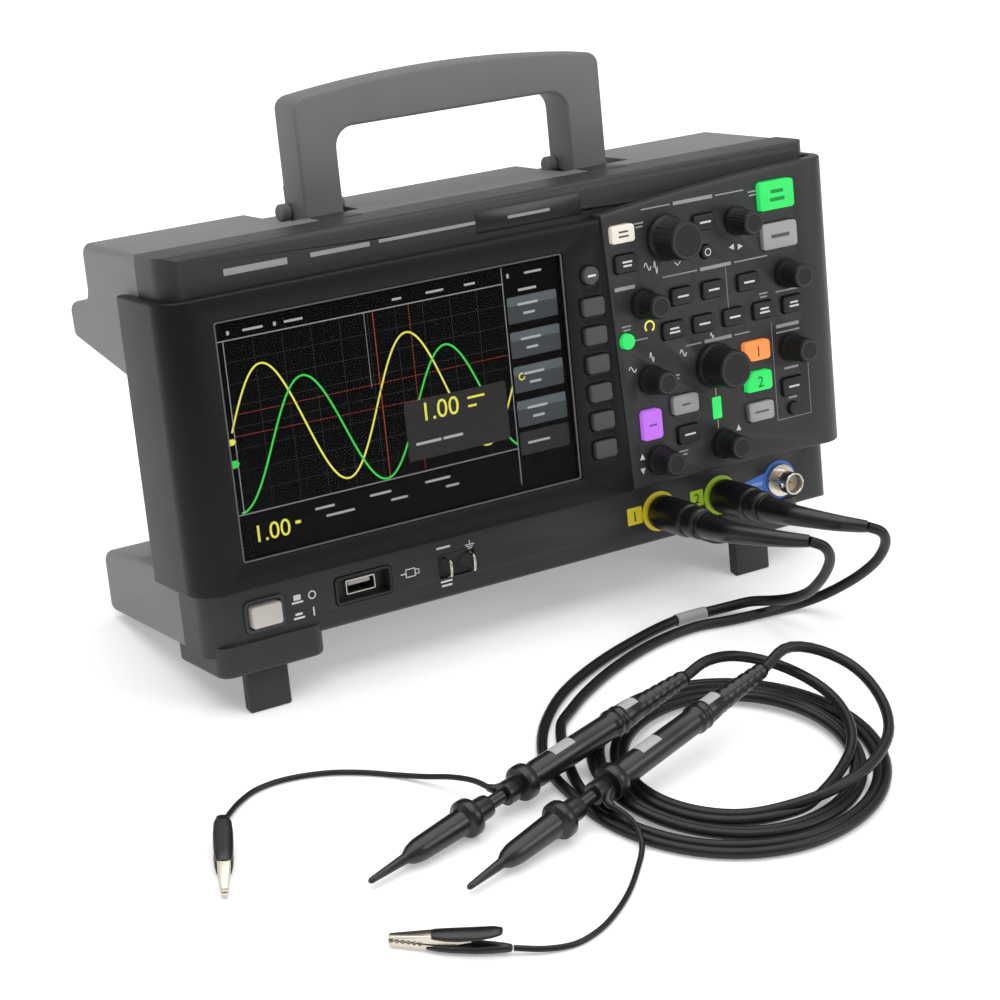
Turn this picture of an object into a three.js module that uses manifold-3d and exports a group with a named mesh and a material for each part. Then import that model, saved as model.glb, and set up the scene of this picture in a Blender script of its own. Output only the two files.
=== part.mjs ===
// A two-channel bench oscilloscope standing on its front tilt legs, with its two probes plugged in.
// Millimetres. The instrument is drawn upright in its own group (x right, y to the back, z up, y = 0 on the
// display bezel's face, z = 0 on the casing's underside) and the group leans back on its tilt legs.
import * as THREE from "three";
import { mergeVertices } from "three/addons/utils/BufferGeometryUtils.js";
import Module from "manifold-3d";

const wasm = await Module();
wasm.setup();

// ---- driving dimensions ----
const WIDTH = 314; // over the bezel and control panel
const GAP = 0.3; // between pieces that touch
const TILT = THREE.MathUtils.degToRad(14); // how far the instrument leans back
const FLOOR_DROP = 28.05; // from the casing's front lower edge down to the bench
const DEPTH_CENTRE = 64.386; // middle of the leaning instrument's depth

const PANEL_FACE = 0; // front of bezel and control panel
const FRAME_FACE = 8; // front of the frame behind them
const SEAM = 31; // where the front frame meets the rear case
const WRAP_BACK = 42; // how far bezel and panel wrap round the sides
const CASE_HALF = 152; // half width of frame and rear case
const CASE_TOP = 157;
const WALL = 3;

const SCREEN = { x: -59.2, z: 84.5, w: 152.4, h: 91.4 }; // visible area of the display
const BEZEL = { rightTop: 38, rightFoot: 43, foot: 26.5, top: 141 };
const STRIP_Z = 13; // centre line of the sockets along the lower strip

const HANDLE = { half: 72, leg: 17.5, front: 43, back: 61, top: 205, rise: 4.5, gripUnder: 190 };
const PIVOT = { y: 57, z: 158.5, r: 4.7, pin: 2.4 };
const HANDLE_RECESS = { inner: 48.5, outer: 82, floor: 153.5 };

const LEG = { width: 18.5, front: 10.7, back: 15.7, hinge: [13.5, -4.5], lefts: [-137, 99] };
const POD = { front: 6, back: 46, deep: 8.6, side: 12 };

const BNC = { xs: [60, 92, 123.5], barrel: 4.8, bore: 3.9, reach: -3.5, flange: 7 };
const PLUG = { r: 7.5, back: 6.1, neck: -16, ring: -27, end: -56 };

const LEAD = { d: 4.4, sides: 10 };
const GROUND = { d: 2.2, sides: 8 };
const COIL = { x: 7, y: -181.5, inner: 37, outer: 65, high: 4.6 };

// ---- finishes ----
const finish = (color, roughness, metalness = 0) => ({ color, roughness, metalness });
const CHARCOAL = finish(0x303133, 0.55);
const BEZEL_BLACK = finish(0x1b1b1c, 0.38);
const CASE_GREY = finish(0x7f7f80, 0.6);
const HANDLE_GREY = finish(0x6f6f70, 0.6);
const KNOB_BLACK = finish(0x252628, 0.55);
const KEY_DARK = finish(0x4a4b4d, 0.6);
const KEY_LIGHT = finish(0xa8a9aa, 0.6);
const KEY_WHITE = finish(0xf1ebe0, 0.5);
const KEY_GREEN = finish(0x22e05a, 0.5);
const KEY_ORANGE = finish(0xff9a55, 0.5);
const KEY_PURPLE = finish(0xc777f0, 0.5);
const GLASS = finish(0x101114, 0.1);
const SCREEN_BLACK = finish(0x050506, 0.3);
const NICKEL = finish(0xc9c4b8, 0.3, 1);
const BOARD_GREEN = finish(0x1f5a36, 0.6);
const SUPPLY_METAL = finish(0xa9acb0, 0.4, 1);
const CABLE_BLACK = finish(0x101011, 0.5);

// ---- solids ----
function toSolid(geometry) {
  const bare = (geometry.index ? geometry.toNonIndexed() : geometry).clone();
  bare.deleteAttribute("normal");
  bare.deleteAttribute("uv");
  const merged = mergeVertices(bare, 1e-4);
  return new wasm.Manifold(
    new wasm.Mesh({
      numProp: 3,
      vertProperties: new Float32Array(merged.attributes.position.array),
      triVerts: new Uint32Array(merged.index.array),
    }),
  );
}

function toGeometry(solid) {
  const mesh = solid.getMesh();
  const geometry = new THREE.BufferGeometry();
  const positions = new Float32Array(mesh.numVert * 3);
  for (let i = 0; i < mesh.numVert; i++) {
    for (let k = 0; k < 3; k++) positions[3 * i + k] = mesh.vertProperties[mesh.numProp * i + k];
  }
  geometry.setAttribute("position", new THREE.BufferAttribute(positions, 3));
  geometry.setIndex(Array.from(mesh.triVerts));
  const flat = geometry.toNonIndexed();
  flat.computeVertexNormals();
  return flat;
}

function join(...geometries) {
  return toGeometry(geometries.map(toSolid).reduce((a, b) => a.add(b)));
}

function cut(geometry, ...tools) {
  let solid = toSolid(geometry);
  for (const tool of tools) solid = solid.subtract(toSolid(tool));
  return toGeometry(solid);
}

function common(a, b) {
  return toGeometry(toSolid(a).intersect(toSolid(b)));
}

// A block between two corners.
function block(x0, x1, y0, y1, z0, z1) {
  const geometry = new THREE.BoxGeometry(x1 - x0, y1 - y0, z1 - z0);
  return geometry.translate((x0 + x1) / 2, (y0 + y1) / 2, (z0 + z1) / 2);
}

// A rectangle with round corners of a few straight steps each.
function roundRect(x, z, w, h, r, steps = 2) {
  const shape = new THREE.Shape();
  const corners = [
    [x + w / 2 - r, z + h / 2 - r, 0],
    [x - w / 2 + r, z + h / 2 - r, 90],
    [x - w / 2 + r, z - h / 2 + r, 180],
    [x + w / 2 - r, z - h / 2 + r, 270],
  ];
  const points = [];
  for (const [cx, cz, from] of corners) {
    for (let i = 0; i <= steps; i++) {
      const a = THREE.MathUtils.degToRad(from + (90 * i) / steps);
      points.push(new THREE.Vector2(cx + r * Math.cos(a), cz + r * Math.sin(a)));
    }
  }
  shape.setFromPoints(points);
  return shape;
}

function disc(x, z, r, sides) {
  const points = [];
  for (let i = 0; i < sides; i++) {
    const a = (2 * Math.PI * (i + 0.5)) / sides;
    points.push(new THREE.Vector2(x + r * Math.cos(a), z + r * Math.sin(a)));
  }
  return new THREE.Shape(points);
}

function outline(points) {
  return new THREE.Shape(points.map(([a, b]) => new THREE.Vector2(a, b)));
}

const extruded = (shape, depth) =>
  new THREE.ExtrudeGeometry(shape, { depth, bevelEnabled: false, curveSegments: 6 });

// A front-view outline (x, z) carried back from y0 to y1.
function fromFront(shape, y0, y1) {
  return extruded(shape, y1 - y0).rotateX(Math.PI / 2).translate(0, y1, 0);
}

// A plan outline (x, y) raised from z0 to z1.
function fromPlan(shape, z0, z1) {
  return extruded(shape, z1 - z0).translate(0, 0, z0);
}

// A side-view outline (y, z) carried across from x0 to x1.
function fromSide(shape, x0, x1) {
  const toSide = new THREE.Matrix4().makeBasis(
    new THREE.Vector3(0, 1, 0),
    new THREE.Vector3(0, 0, 1),
    new THREE.Vector3(1, 0, 0),
  );
  return extruded(shape, x1 - x0).applyMatrix4(toSide).translate(x0, 0, 0);
}

// A turned piece on an axis along y: profile points are (radius, y).
function turned(profile, x, z, sides) {
  const points = profile.map(([r, y]) => new THREE.Vector2(r, y));
  return new THREE.LatheGeometry(points, sides).translate(x, 0, z);
}

function node(name, geometry, look) {
  const mesh = new THREE.Mesh(geometry, new THREE.MeshStandardMaterial(look));
  mesh.name = name;
  return mesh;
}

// Height of the bench under the leaning casing, at a depth y in the instrument's frame.
const benchAt = (y) => (y * Math.sin(TILT) - FLOOR_DROP) / Math.cos(TILT);

// ---- keys and knobs on the front: x, z, width, height ----
const SOFT_X = 30.5;
const SOFT_PITCH = 11.9;
const softKeys = [...Array(6)].map((_, i) => ({
  name: `softkey_${i + 1}`,
  x: SOFT_X,
  z: 107.4 - SOFT_PITCH * i,
  w: 10.4,
  h: 7.2,
  look: KEY_DARK,
}));
const bezelKeys = [{ name: "back_key", x: SOFT_X, z: 120.3, round: 7.4, look: KEY_DARK }, ...softKeys];
const panelKeys = [
  { name: "run_stop_key", x: 126, z: 138.2, w: 18, h: 12, look: KEY_GREEN },
  { name: "single_key", x: 126.3, z: 121, w: 18, h: 11, look: KEY_LIGHT },
  { name: "auto_scale_key", x: 47.5, z: 134.5, w: 11.3, h: 7.2, look: KEY_WHITE },
  { name: "channel_1_key", x: 110.2, z: 74, w: 13.5, h: 8.4, look: KEY_ORANGE },
  { name: "channel_2_key", x: 110.2, z: 60.8, w: 13.5, h: 8.4, look: KEY_GREEN },
  { name: "external_key", x: 110.2, z: 47.7, w: 13.2, h: 8, look: KEY_LIGHT },
  { name: "fft_key", x: 71.6, z: 58.6, w: 13.2, h: 8, look: KEY_LIGHT },
  { name: "math_key", x: 54.2, z: 53.2, w: 9.8, h: 12.6, look: KEY_PURPLE },
];
// Dark keys that stand on one silicone mat.
const matKeys = [
  { x: 48.2, z: 122.1, w: 10.6, h: 7.3 },
  { x: 88.4, z: 132.7, w: 11, h: 6.4 },
  { x: 88.7, z: 120.1, round: 5.6 },
  { x: 74.4, z: 104, w: 10.6, h: 7 },
  { x: 90.2, z: 104, w: 10.6, h: 7 },
  { x: 108.5, z: 104, w: 10.6, h: 7 },
  { x: 68.8, z: 90.6, w: 10.6, h: 7 },
  { x: 84.2, z: 90.6, w: 10.6, h: 7 },
  { x: 99.8, z: 90.6, w: 10.6, h: 7 },
  { x: 115.4, z: 90.6, w: 10.6, h: 7 },
  { x: 131, z: 90.6, w: 10.6, h: 7 },
  { x: 45.9, z: 90, round: 6.6 },
  { x: 72.4, z: 45.5, w: 10.7, h: 7.5 },
  { x: 128.1, z: 55.2, w: 11, h: 7.5 },
  { x: 127.9, z: 45.5, w: 5.2, h: 5.2 },
];
const BIG_KNOB = { base: 9.6, cap: 8, out: 16 };
const SMALL_KNOB = { base: 6.3, cap: 5, out: 13 };
const knobs = [
  { name: "horizontal_scale_knob", x: 69, z: 129.4, size: BIG_KNOB },
  { name: "horizontal_position_knob", x: 105, z: 130.5, size: SMALL_KNOB },
  { name: "cursors_knob", x: 129, z: 104, size: SMALL_KNOB },
  { name: "entry_knob", x: 55.5, z: 104, size: SMALL_KNOB },
  { name: "vertical_scale_knob_1", x: 56, z: 72, size: SMALL_KNOB },
  { name: "vertical_scale_knob_2", x: 88.5, z: 72, size: BIG_KNOB },
  { name: "trigger_level_knob", x: 129, z: 72, size: SMALL_KNOB },
  { name: "vertical_position_knob_1", x: 57, z: 37.5, size: SMALL_KNOB },
  { name: "vertical_position_knob_2", x: 90.5, z: 37.5, size: SMALL_KNOB },
];
const KEY_PROUD = 1.8;
const SHAFT = 3;

const keyShape = (key, grow = 0) =>
  key.round
    ? disc(key.x, key.z, key.round / 2 + grow, 14)
    : roundRect(key.x, key.z, key.w + 2 * grow, key.h + 2 * grow, 1.2 + grow);

// A key: its cap stands out of the panel, and a lip behind the panel keeps it in.
function keySolid(key) {
  const cap = fromFront(keyShape(key), PANEL_FACE - KEY_PROUD, FRAME_FACE + 1);
  const lip = fromFront(keyShape(key, 0.9), FRAME_FACE + GAP, FRAME_FACE + 1.6);
  return join(cap, lip);
}

function knobSolid({ x, z, size }) {
  const profile = [
    [0, -size.out],
    [size.cap - 0.8, -size.out],
    [size.cap, 0.8 - size.out],
    [size.base, -1.2],
    [size.base, -0.5],
    [SHAFT, -0.5],
    [SHAFT, FRAME_FACE + 2.6],
    [0, FRAME_FACE + 2.6],
  ];
  return turned(profile, x, z, 16);
}

// ---- casing ----
// Plan of a cover that wraps round one side of the instrument; side is -1 on the left, +1 on the right.
function wrapPlan(side, inner, cornerRadius) {
  const out = side * (WIDTH / 2);
  const points = [[inner, PANEL_FACE]];
  for (let i = 0; i <= 5; i++) {
    const a = ((90 * i) / 5) * (Math.PI / 180);
    points.push([
      out - side * cornerRadius * (1 - Math.sin(a)),
      PANEL_FACE + cornerRadius * (1 - Math.cos(a)),
    ]);
  }
  points.push([out, WRAP_BACK], [side * (CASE_HALF + GAP), WRAP_BACK]);
  points.push([side * (CASE_HALF + GAP), FRAME_FACE - GAP], [inner, FRAME_FACE - GAP]);
  return outline(points);
}

function displayBezel() {
  const plan = fromPlan(wrapPlan(-1, 60, 12), 0, 160);
  const face = fromFront(
    outline([
      [-200, BEZEL.foot],
      [BEZEL.rightFoot, BEZEL.foot],
      [BEZEL.rightTop, BEZEL.top + 1],
      [-200, BEZEL.top],
    ]),
    -1,
    WRAP_BACK + 1,
  );
  const opening = fromFront(roundRect(SCREEN.x, SCREEN.z, SCREEN.w + 3.2, SCREEN.h + 3.2, 1), -5, 10);
  const holes = bezelKeys.map((key) => fromFront(keyShape(key, GAP), -5, 10));
  return cut(common(plan, face), opening, ...holes);
}

function controlPanel() {
  const plan = fromPlan(wrapPlan(1, 20, 12), 0, 160);
  const face = new THREE.Shape();
  face.moveTo(BEZEL.rightFoot + GAP, 27.2);
  face.lineTo(95, 27.2);
  face.lineTo(200, 24.6);
  face.lineTo(200, 151);
  face.lineTo(146, 150.4);
  face.quadraticCurveTo(84, 143.4, BEZEL.rightTop + GAP, 143.2);
  const body = common(plan, fromFront(face, -1, WRAP_BACK + 1));
  const keyHoles = [...panelKeys, ...matKeys].map((key) => fromFront(keyShape(key, GAP), -5, 10));
  const shaftHoles = knobs.map(({ x, z }) => fromFront(disc(x, z, SHAFT + 0.7, 10), -5, 10));
  return cut(body, ...keyHoles, ...shaftHoles);
}

// The frame that carries the bezel, the panel, the sockets and the tilt legs.
function frontFrame() {
  const corner = 9;
  const points = [];
  for (let i = 0; i <= 4; i++) {
    const a = ((90 * i) / 4) * (Math.PI / 180);
    points.push([
      CASE_HALF - corner * (1 - Math.sin(a)),
      FRAME_FACE + corner * (1 - Math.cos(a)),
    ]);
  }
  const right = [...points, [CASE_HALF, SEAM]];
  const left = right.map(([x, y]) => [-x, y]).reverse();
  const plan = fromPlan(outline([...left, ...right]), 0, CASE_TOP);
  const side = fromSide(
    outline([
      [FRAME_FACE + 2, 0],
      [SEAM, 0],
      [SEAM, CASE_TOP],
      [FRAME_FACE + 7, CASE_TOP],
      [FRAME_FACE + 1.4, CASE_TOP - 2],
      [FRAME_FACE, CASE_TOP - 5],
      [FRAME_FACE, 2.5],
    ]),
    -200,
    200,
  );
  const shell = common(plan, side);
  const inset = CASE_HALF - WALL;
  const cavity = block(-inset, inset, FRAME_FACE + WALL, SEAM + 5, WALL, CASE_TOP - WALL);
  const screenHole = block(-137.2, 18.8, 0, 20, 36.6, 132.4);
  const softKeyHole = block(23, 38, 0, 20, 43, 127);
  const panelHole = block(40.5, 146, 0, 20, 30.5, 141.5);
  const runKeyHole = block(114, 138, 0, 20, 140, 146);
  const powerHole = fromFront(roundRect(-127.2, 13.5, 14.4, 10.2, 1), 0, 20);
  const usbHole = fromFront(roundRect(-83, 14.4, 26, 12, 2), 0, 20);
  const terminalHole = block(-48.5, -31.5, 0, 20, 8.5, 18.5);
  const socketHoles = BNC.xs.map((x) => fromFront(disc(x, STRIP_Z, 5.4, 12), 0, 20));
  let frame = cut(shell, cavity, screenHole, softKeyHole, panelHole, runKeyHole);
  frame = cut(frame, powerHole, usbHole, terminalHole, ...socketHoles);
  return join(frame, ...LEG.lefts.map(legPod), ...[-1, 1].map(handleStop));
}

// The pod under the frame that holds one tilt leg's hinge, open below and behind.
function legPod(left) {
  const x0 = left - POD.side;
  const x1 = left + LEG.width + POD.side + 4;
  const body = fromPlan(
    outline([
      [x0, POD.back],
      [x0, POD.front + 6],
      [x0 + 2, POD.front + 2],
      [x0 + 6, POD.front],
      [x1 - 6, POD.front],
      [x1 - 2, POD.front + 2],
      [x1, POD.front + 6],
      [x1, POD.back],
    ]),
    -POD.deep,
    FRAME_FACE - 4,
  );
  const well = block(left - 0.6, left + LEG.width + 0.6, LEG.front - GAP, POD.back - 4, -20, -1);
  return cut(body, well, block(x0 - 1, x1 + 1, SEAM, 60, -GAP, 20), block(x0, x1, 11, 60, 2.9, 20));
}

// A dark block on the frame's top in front of each handle leg.
function handleStop(side) {
  const inner = HANDLE.half - HANDLE.leg;
  const [a, b] = [side * inner, side * HANDLE.half].sort((p, q) => p - q);
  return block(a, b, SEAM - 1, 41.2, CASE_TOP - 3, CASE_TOP);
}

// The rear case: a stepped top with a shoulder, a foot along the bottom, and a narrow waist between them.
function rearCase() {
  const back = SEAM + GAP;
  const half = CASE_HALF;
  const inset = half - WALL;
  const upper = [
    [back, 104],
    [43, 104],
    [104, 116.5],
    [105, 118],
    [105, 130],
    [103, 132],
    [84, 134.5],
    [84, 154],
    [82, 156.4],
    [back, CASE_TOP],
  ];
  const lower = [
    [back, 0],
    [103, 0],
    [106, 3],
    [106, 24],
    [103, 27],
    [70, 30],
    [back, 30],
  ];
  const outer = join(
    fromSide(outline(upper), -half, half),
    fromSide(outline(lower), -half, half),
    fromPlan(waistPlan(half, back, 113, 98), 28, 108),
  );
  const hollows = [
    fromSide(outline([[20, 107], [42, 107], [81, 115], [81, 150], [20, 150]]), -inset, inset),
    block(-inset, inset, 20, 102, WALL, 26),
    fromPlan(waistPlan(inset, 20, 110, 95), WALL + 1, 116),
    block(-45, 45, 20, 80, 149, CASE_TOP - WALL),
    block(-inset, -85.5, 20, 80, 149, CASE_TOP - WALL),
    block(85.5, inset, 20, 80, 149, CASE_TOP - WALL),
  ];
  const recesses = [-1, 1].map((side) => {
    const [a, b] = [side * HANDLE_RECESS.inner, side * HANDLE_RECESS.outer].sort((p, q) => p - q);
    return block(a, b, 42, 90, HANDLE_RECESS.floor, 170);
  });
  const stops = [-1, 1].map((side) => {
    const inner = HANDLE.half - HANDLE.leg - GAP;
    const [a, b] = [side * inner, side * (HANDLE.half + GAP)].sort((p, q) => p - q);
    return block(a, b, 20, 42.5, CASE_TOP - WALL - GAP, 170);
  });
  const inletHole = block(-88.3, -59.7, 90, 110, 44.7, 69.3);
  const feet = [-1, 1].map((side) => {
    const [a, b] = [side * 112, side * 134].sort((p, q) => p - q);
    return fromSide(outline([[94, 1], [94, benchAt(94)], [104, benchAt(104)], [104, 1]]), a, b);
  });
  return join(cut(outer, ...hollows, ...recesses, ...stops, inletHole), ...feet);
}

// Plan of the waist: full width at the front, sloping in to a narrower block behind.
function waistPlan(wide, from, narrow, back) {
  const right = [
    [wide, from],
    [wide, 41],
    [narrow, 61],
    [narrow, back],
  ];
  const left = right.map(([x, y]) => [-x, y]).reverse();
  return outline([...right, ...left]);
}

// ---- handle ----
function handle() {
  const { half, leg, front, back, top, rise, gripUnder } = HANDLE;
  const foot = PIVOT.z - PIVOT.r;
  const face = new THREE.Shape();
  face.moveTo(-half, foot);
  face.lineTo(-half, top - 3);
  face.lineTo(-half + 3, top);
  face.quadraticCurveTo(0, top + 2 * rise, half - 3, top);
  face.lineTo(half, top - 3);
  face.lineTo(half, foot);
  face.lineTo(half - leg, foot);
  face.lineTo(half - leg, gripUnder - 8);
  face.quadraticCurveTo(half - leg, gripUnder, half - leg - 9, gripUnder);
  face.lineTo(-half + leg + 9, gripUnder);
  face.quadraticCurveTo(-half + leg, gripUnder, -half + leg, gripUnder - 8);
  face.lineTo(-half + leg, foot);
  const sideView = fromSide(
    outline([
      [front, foot],
      [PIVOT.y, foot],
      [PIVOT.y + 2.6, foot + 0.8],
      [back, foot + 2.4],
      [back, top + 12],
      [front, top + 12],
    ]),
    -100,
    100,
  );
  const bores = [-1, 1].map((side) => pinAcross(side * (half - leg / 2), leg / 2 + 5, PIVOT.pin + 0.4, 16));
  return cut(common(fromFront(face, 20, 90), sideView), ...bores);
}

// A round bar along x at the handle's pivot.
function pinAcross(x, reach, r, sides) {
  return new THREE.CylinderGeometry(r, r, 2 * reach, sides)
    .rotateZ(Math.PI / 2)
    .translate(x, PIVOT.y, PIVOT.z);
}

// A hinge: two round lugs joined by the pin that runs through the handle's leg.
function handleHinge(side) {
  const middle = side * (HANDLE.half - HANDLE.leg / 2);
  const outerLug = middle + side * (HANDLE.leg / 2 + 2.7);
  const innerLug = middle - side * (HANDLE.leg / 2 + 2.7);
  return join(
    pinAcross(middle, HANDLE.leg / 2 + 2, PIVOT.pin, 12),
    pinAcross(outerLug, 2.3, PIVOT.r - 0.2, 14),
    pinAcross(innerLug, 2.3, PIVOT.r - 0.2, 14),
  );
}

// ---- tilt legs ----
function tiltLeg(left) {
  const [hy, hz] = LEG.hinge;
  const profile = [
    [LEG.front, hz],
    [LEG.front + 0.8, hz + 2],
    [hy, hz + 2.8],
    [hy + 1.9, hz + 2],
    [hy + 2.2, hz],
    [LEG.back, -12],
    [LEG.back, benchAt(LEG.back)],
    [LEG.front, benchAt(LEG.front)],
  ].reverse();
  return fromSide(outline(profile), left, left + LEG.width);
}

// ---- sockets and terminals ----
function bncSocket(x) {
  const profile = [
    [0, -0.5],
    [1.4, -0.5],
    [1.4, 3.5],
    [BNC.bore, 3.5],
    [BNC.bore, BNC.reach],
    [BNC.barrel, BNC.reach],
    [BNC.barrel, FRAME_FACE - 1.6],
    [BNC.flange, FRAME_FACE - 1.6],
    [BNC.flange, FRAME_FACE - GAP],
    [BNC.barrel, FRAME_FACE - GAP],
    [BNC.barrel, FRAME_FACE + 6],
    [0, FRAME_FACE + 6],
  ];
  const body = turned(profile, x, STRIP_Z, 16);
  const lugs = [-1, 1].map((side) =>
    new THREE.CylinderGeometry(1, 1, 2, 8).rotateZ(Math.PI / 2).translate(x + side * 5.3, -1, STRIP_Z),
  );
  return join(body, ...lugs);
}

function usbPort() {
  const surround = fromFront(roundRect(-83, 14.4, 25.4, 11.4, 1.8), FRAME_FACE + 0.6, FRAME_FACE + 12);
  const dish = fromFront(roundRect(-83, 14.4, 23, 9.4, 1.2), 0, FRAME_FACE + 6);
  const mouth = block(-89.3, -76.7, 0, FRAME_FACE + 11, 11.8, 17);
  const tongue = block(-88, -78, FRAME_FACE + 7, FRAME_FACE + 11.5, 14.8, 16.2);
  return join(cut(surround, dish, mouth), tongue);
}

function probeTerminals() {
  const base = block(-48.2, -31.8, FRAME_FACE + 0.6, FRAME_FACE + 5, 8.8, 18.2);
  const hooks = [-45, -35].map((x) =>
    join(
      block(x - 0.5, x + 0.5, FRAME_FACE - 5, FRAME_FACE + 2, 10.4, 11.4),
      block(x - 0.5, x + 0.5, FRAME_FACE - 5, FRAME_FACE + 2, 15.2, 16.2),
      block(x - 0.5, x + 0.5, FRAME_FACE - 5, FRAME_FACE - 4, 10.4, 16.2),
    ),
  );
  return join(base, ...hooks);
}

function mainsInlet() {
  const body = block(-88, -60, 78, 99.2, 45, 69);
  const mouth = fromFront(roundRect(-74, 57, 24, 17, 3), 84, 110);
  const pins = [-7, 0, 7].map((dx) => block(-75 + dx, -73 + dx, 83, 88.5, 54, 60));
  return join(cut(body, mouth), ...pins);
}

// ---- what the case holds ----
function lcdPanel() {
  return fromFront(roundRect(SCREEN.x, SCREEN.z, SCREEN.w + 2.2, SCREEN.h + 2.2, 0.6), 3.1, 9.4);
}

function displayWindow() {
  return fromFront(roundRect(SCREEN.x, SCREEN.z, SCREEN.w + 2.6, SCREEN.h + 2.6, 0.7), 1.1, 2.8);
}

function menuKeypad() {
  const mat = fromFront(roundRect(93.4, 86, 103, 108, 3), FRAME_FACE + 3.6, FRAME_FACE + 5);
  const towers = matKeys.map((key) => fromFront(keyShape(key), PANEL_FACE - KEY_PROUD + 0.3, FRAME_FACE + 4));
  return join(mat, ...towers);
}

function mainBoard() {
  return block(-140, 140, 18, 19.6, 24, 146);
}

function powerSupply() {
  const plate = block(-70, 30, 44, 46, 30, 96);
  const transformer = block(-20, 18, 45, 70, 36, 66);
  const capacitors = block(-62, -34, 45, 76, 74, 94);
  const filter = block(-64, -50, 45, 68, 36, 60);
  return join(plate, capacitors, transformer, filter);
}

// ---- the instrument ----
const instrument = new THREE.Group();
instrument.rotation.x = -TILT;
instrument.position.set(0, -DEPTH_CENTRE, FLOOR_DROP);
instrument.add(
  node("rear_case", rearCase(), CASE_GREY),
  node("front_frame", frontFrame(), CHARCOAL),
  node("display_bezel", displayBezel(), BEZEL_BLACK),
  node("display_window", displayWindow(), GLASS),
  node("lcd_panel", lcdPanel(), SCREEN_BLACK),
  node("control_panel", controlPanel(), CHARCOAL),
  node("handle", handle(), HANDLE_GREY),
  node("handle_hinge_left", handleHinge(-1), CHARCOAL),
  node("handle_hinge_right", handleHinge(1), CHARCOAL),
  node("tilt_leg_left", tiltLeg(LEG.lefts[0]), CHARCOAL),
  node("tilt_leg_right", tiltLeg(LEG.lefts[1]), CHARCOAL),
  node("menu_keypad", menuKeypad(), KEY_DARK),
  node("main_board", mainBoard(), BOARD_GREEN),
  node("power_supply", powerSupply(), SUPPLY_METAL),
  node("mains_inlet", mainsInlet(), CHARCOAL),
  node("usb_port", usbPort(), NICKEL),
  node("probe_terminals", probeTerminals(), NICKEL),
);
const powerKey = { x: -127.2, z: 13.5, w: 13.2, h: 9 };
instrument.add(
  node(
    "power_button",
    fromFront(roundRect(powerKey.x, powerKey.z, powerKey.w, powerKey.h, 1), FRAME_FACE - 3, FRAME_FACE + 9),
    KEY_WHITE,
  ),
);
["bnc_channel_1", "bnc_channel_2", "bnc_external"].forEach((name, i) => {
  instrument.add(node(name, bncSocket(BNC.xs[i]), NICKEL));
});
for (const key of [...bezelKeys, ...panelKeys]) instrument.add(node(key.name, keySolid(key), key.look));
for (const knob of knobs) instrument.add(node(knob.name, knobSolid(knob), KNOB_BLACK));

// ---- probes ----
// A plug: a sleeve over the socket, a ribbed neck and a tapered boot.
function bncPlug(x) {
  const profile = [
    [0, PLUG.end],
    [2.6, PLUG.end],
    [4.4, PLUG.ring - 1],
    [5.6, PLUG.ring],
    [5.6, PLUG.neck - 1.5],
    [PLUG.r, PLUG.neck],
    [PLUG.r, PLUG.back],
    [6.6, PLUG.back],
    [6.6, BNC.reach - 2],
    [0, BNC.reach - 2],
  ];
  return turned(profile, x, STRIP_Z, 16);
}
for (const i of [0, 1]) instrument.add(node(`bnc_plug_${i + 1}`, bncPlug(BNC.xs[i]), CABLE_BLACK));

function tube(points, diameter, sides, steps) {
  const path = new THREE.CatmullRomCurve3(points.map((p) => new THREE.Vector3(...p)));
  const ring = [];
  for (let i = 0; i < sides; i++) {
    const a = (2 * Math.PI * i) / sides;
    ring.push(new THREE.Vector2((diameter / 2) * Math.cos(a), (diameter / 2) * Math.sin(a)));
  }
  return new THREE.ExtrudeGeometry(new THREE.Shape(ring), { steps, extrudePath: path, bevelEnabled: false });
}

// The mouth of a plug's boot, on the bench's axes.
function bootMouth(x, past) {
  const y = PLUG.end - past;
  const [s, c] = [Math.sin(TILT), Math.cos(TILT)];
  return [x, y * c + STRIP_Z * s - DEPTH_CENTRE, -y * s + STRIP_Z * c + FLOOR_DROP];
}

const leadRoutes = [
  [
    bootMouth(BNC.xs[0], GAP),
    bootMouth(BNC.xs[0], 6),
    [64, -122.5, 57],
    [72, -131, 55],
    [82, -136, 47],
    [90, -132, 36],
    [95, -123, 24],
    [97, -112, 15],
    [95, -100, 9.8],
    [87, -90, 4.8],
    [74, -84.6, 2.3],
    [58, -82.4, 2.3],
    [33, -85.9, 2.3],
    [4, -95.3, 2.3],
    [-22, -108.2, 2.3],
    [-41, -124, 2.3],
    [-53, -140, 2.3],
    [-58.5, -154, 2.3],
    [-60.2, -167, 2.3],
  ],
  [
    bootMouth(BNC.xs[1], GAP),
    bootMouth(BNC.xs[1], 6),
    [96, -122.5, 57],
    [104, -131, 55],
    [113, -134, 46],
    [119, -129, 35],
    [121, -120, 24],
    [118, -109, 12],
    [110, -99.5, 5],
    [99, -95.5, 2.3],
    [86, -95.3, 2.3],
    [72, -94, 2.3],
    [54, -90.6, 2.3],
    [31, -93.8, 2.3],
    [6, -102.4, 2.3],
    [-14, -112.5, 2.3],
    [-27, -121, 2.3],
    [-37.5, -129.5, 2.3],
  ],
];

// One probe each: its axis rises from the tip, over the finger flange, on to the coil.
const probes = [
  { tip: [-154.4, -185, 3.4], towards: [12.7, -141.6, 17] },
  { tip: [-126, -205.2, 3.4], towards: [29.1, -159.9, 20] },
];
const PROBE = { length: 172, sleeveEnd: 60, bodyStart: 68.5, noseStart: 30, nose: 2.6, bore: 3.2 };

function alongProbe(geometry, { tip, towards }) {
  const start = new THREE.Vector3(...tip);
  const axis = new THREE.Vector3(...towards).sub(start).normalize();
  const turn = new THREE.Quaternion().setFromUnitVectors(new THREE.Vector3(0, 1, 0), axis);
  return geometry.applyQuaternion(turn).translate(start.x, start.y, start.z);
}

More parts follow.
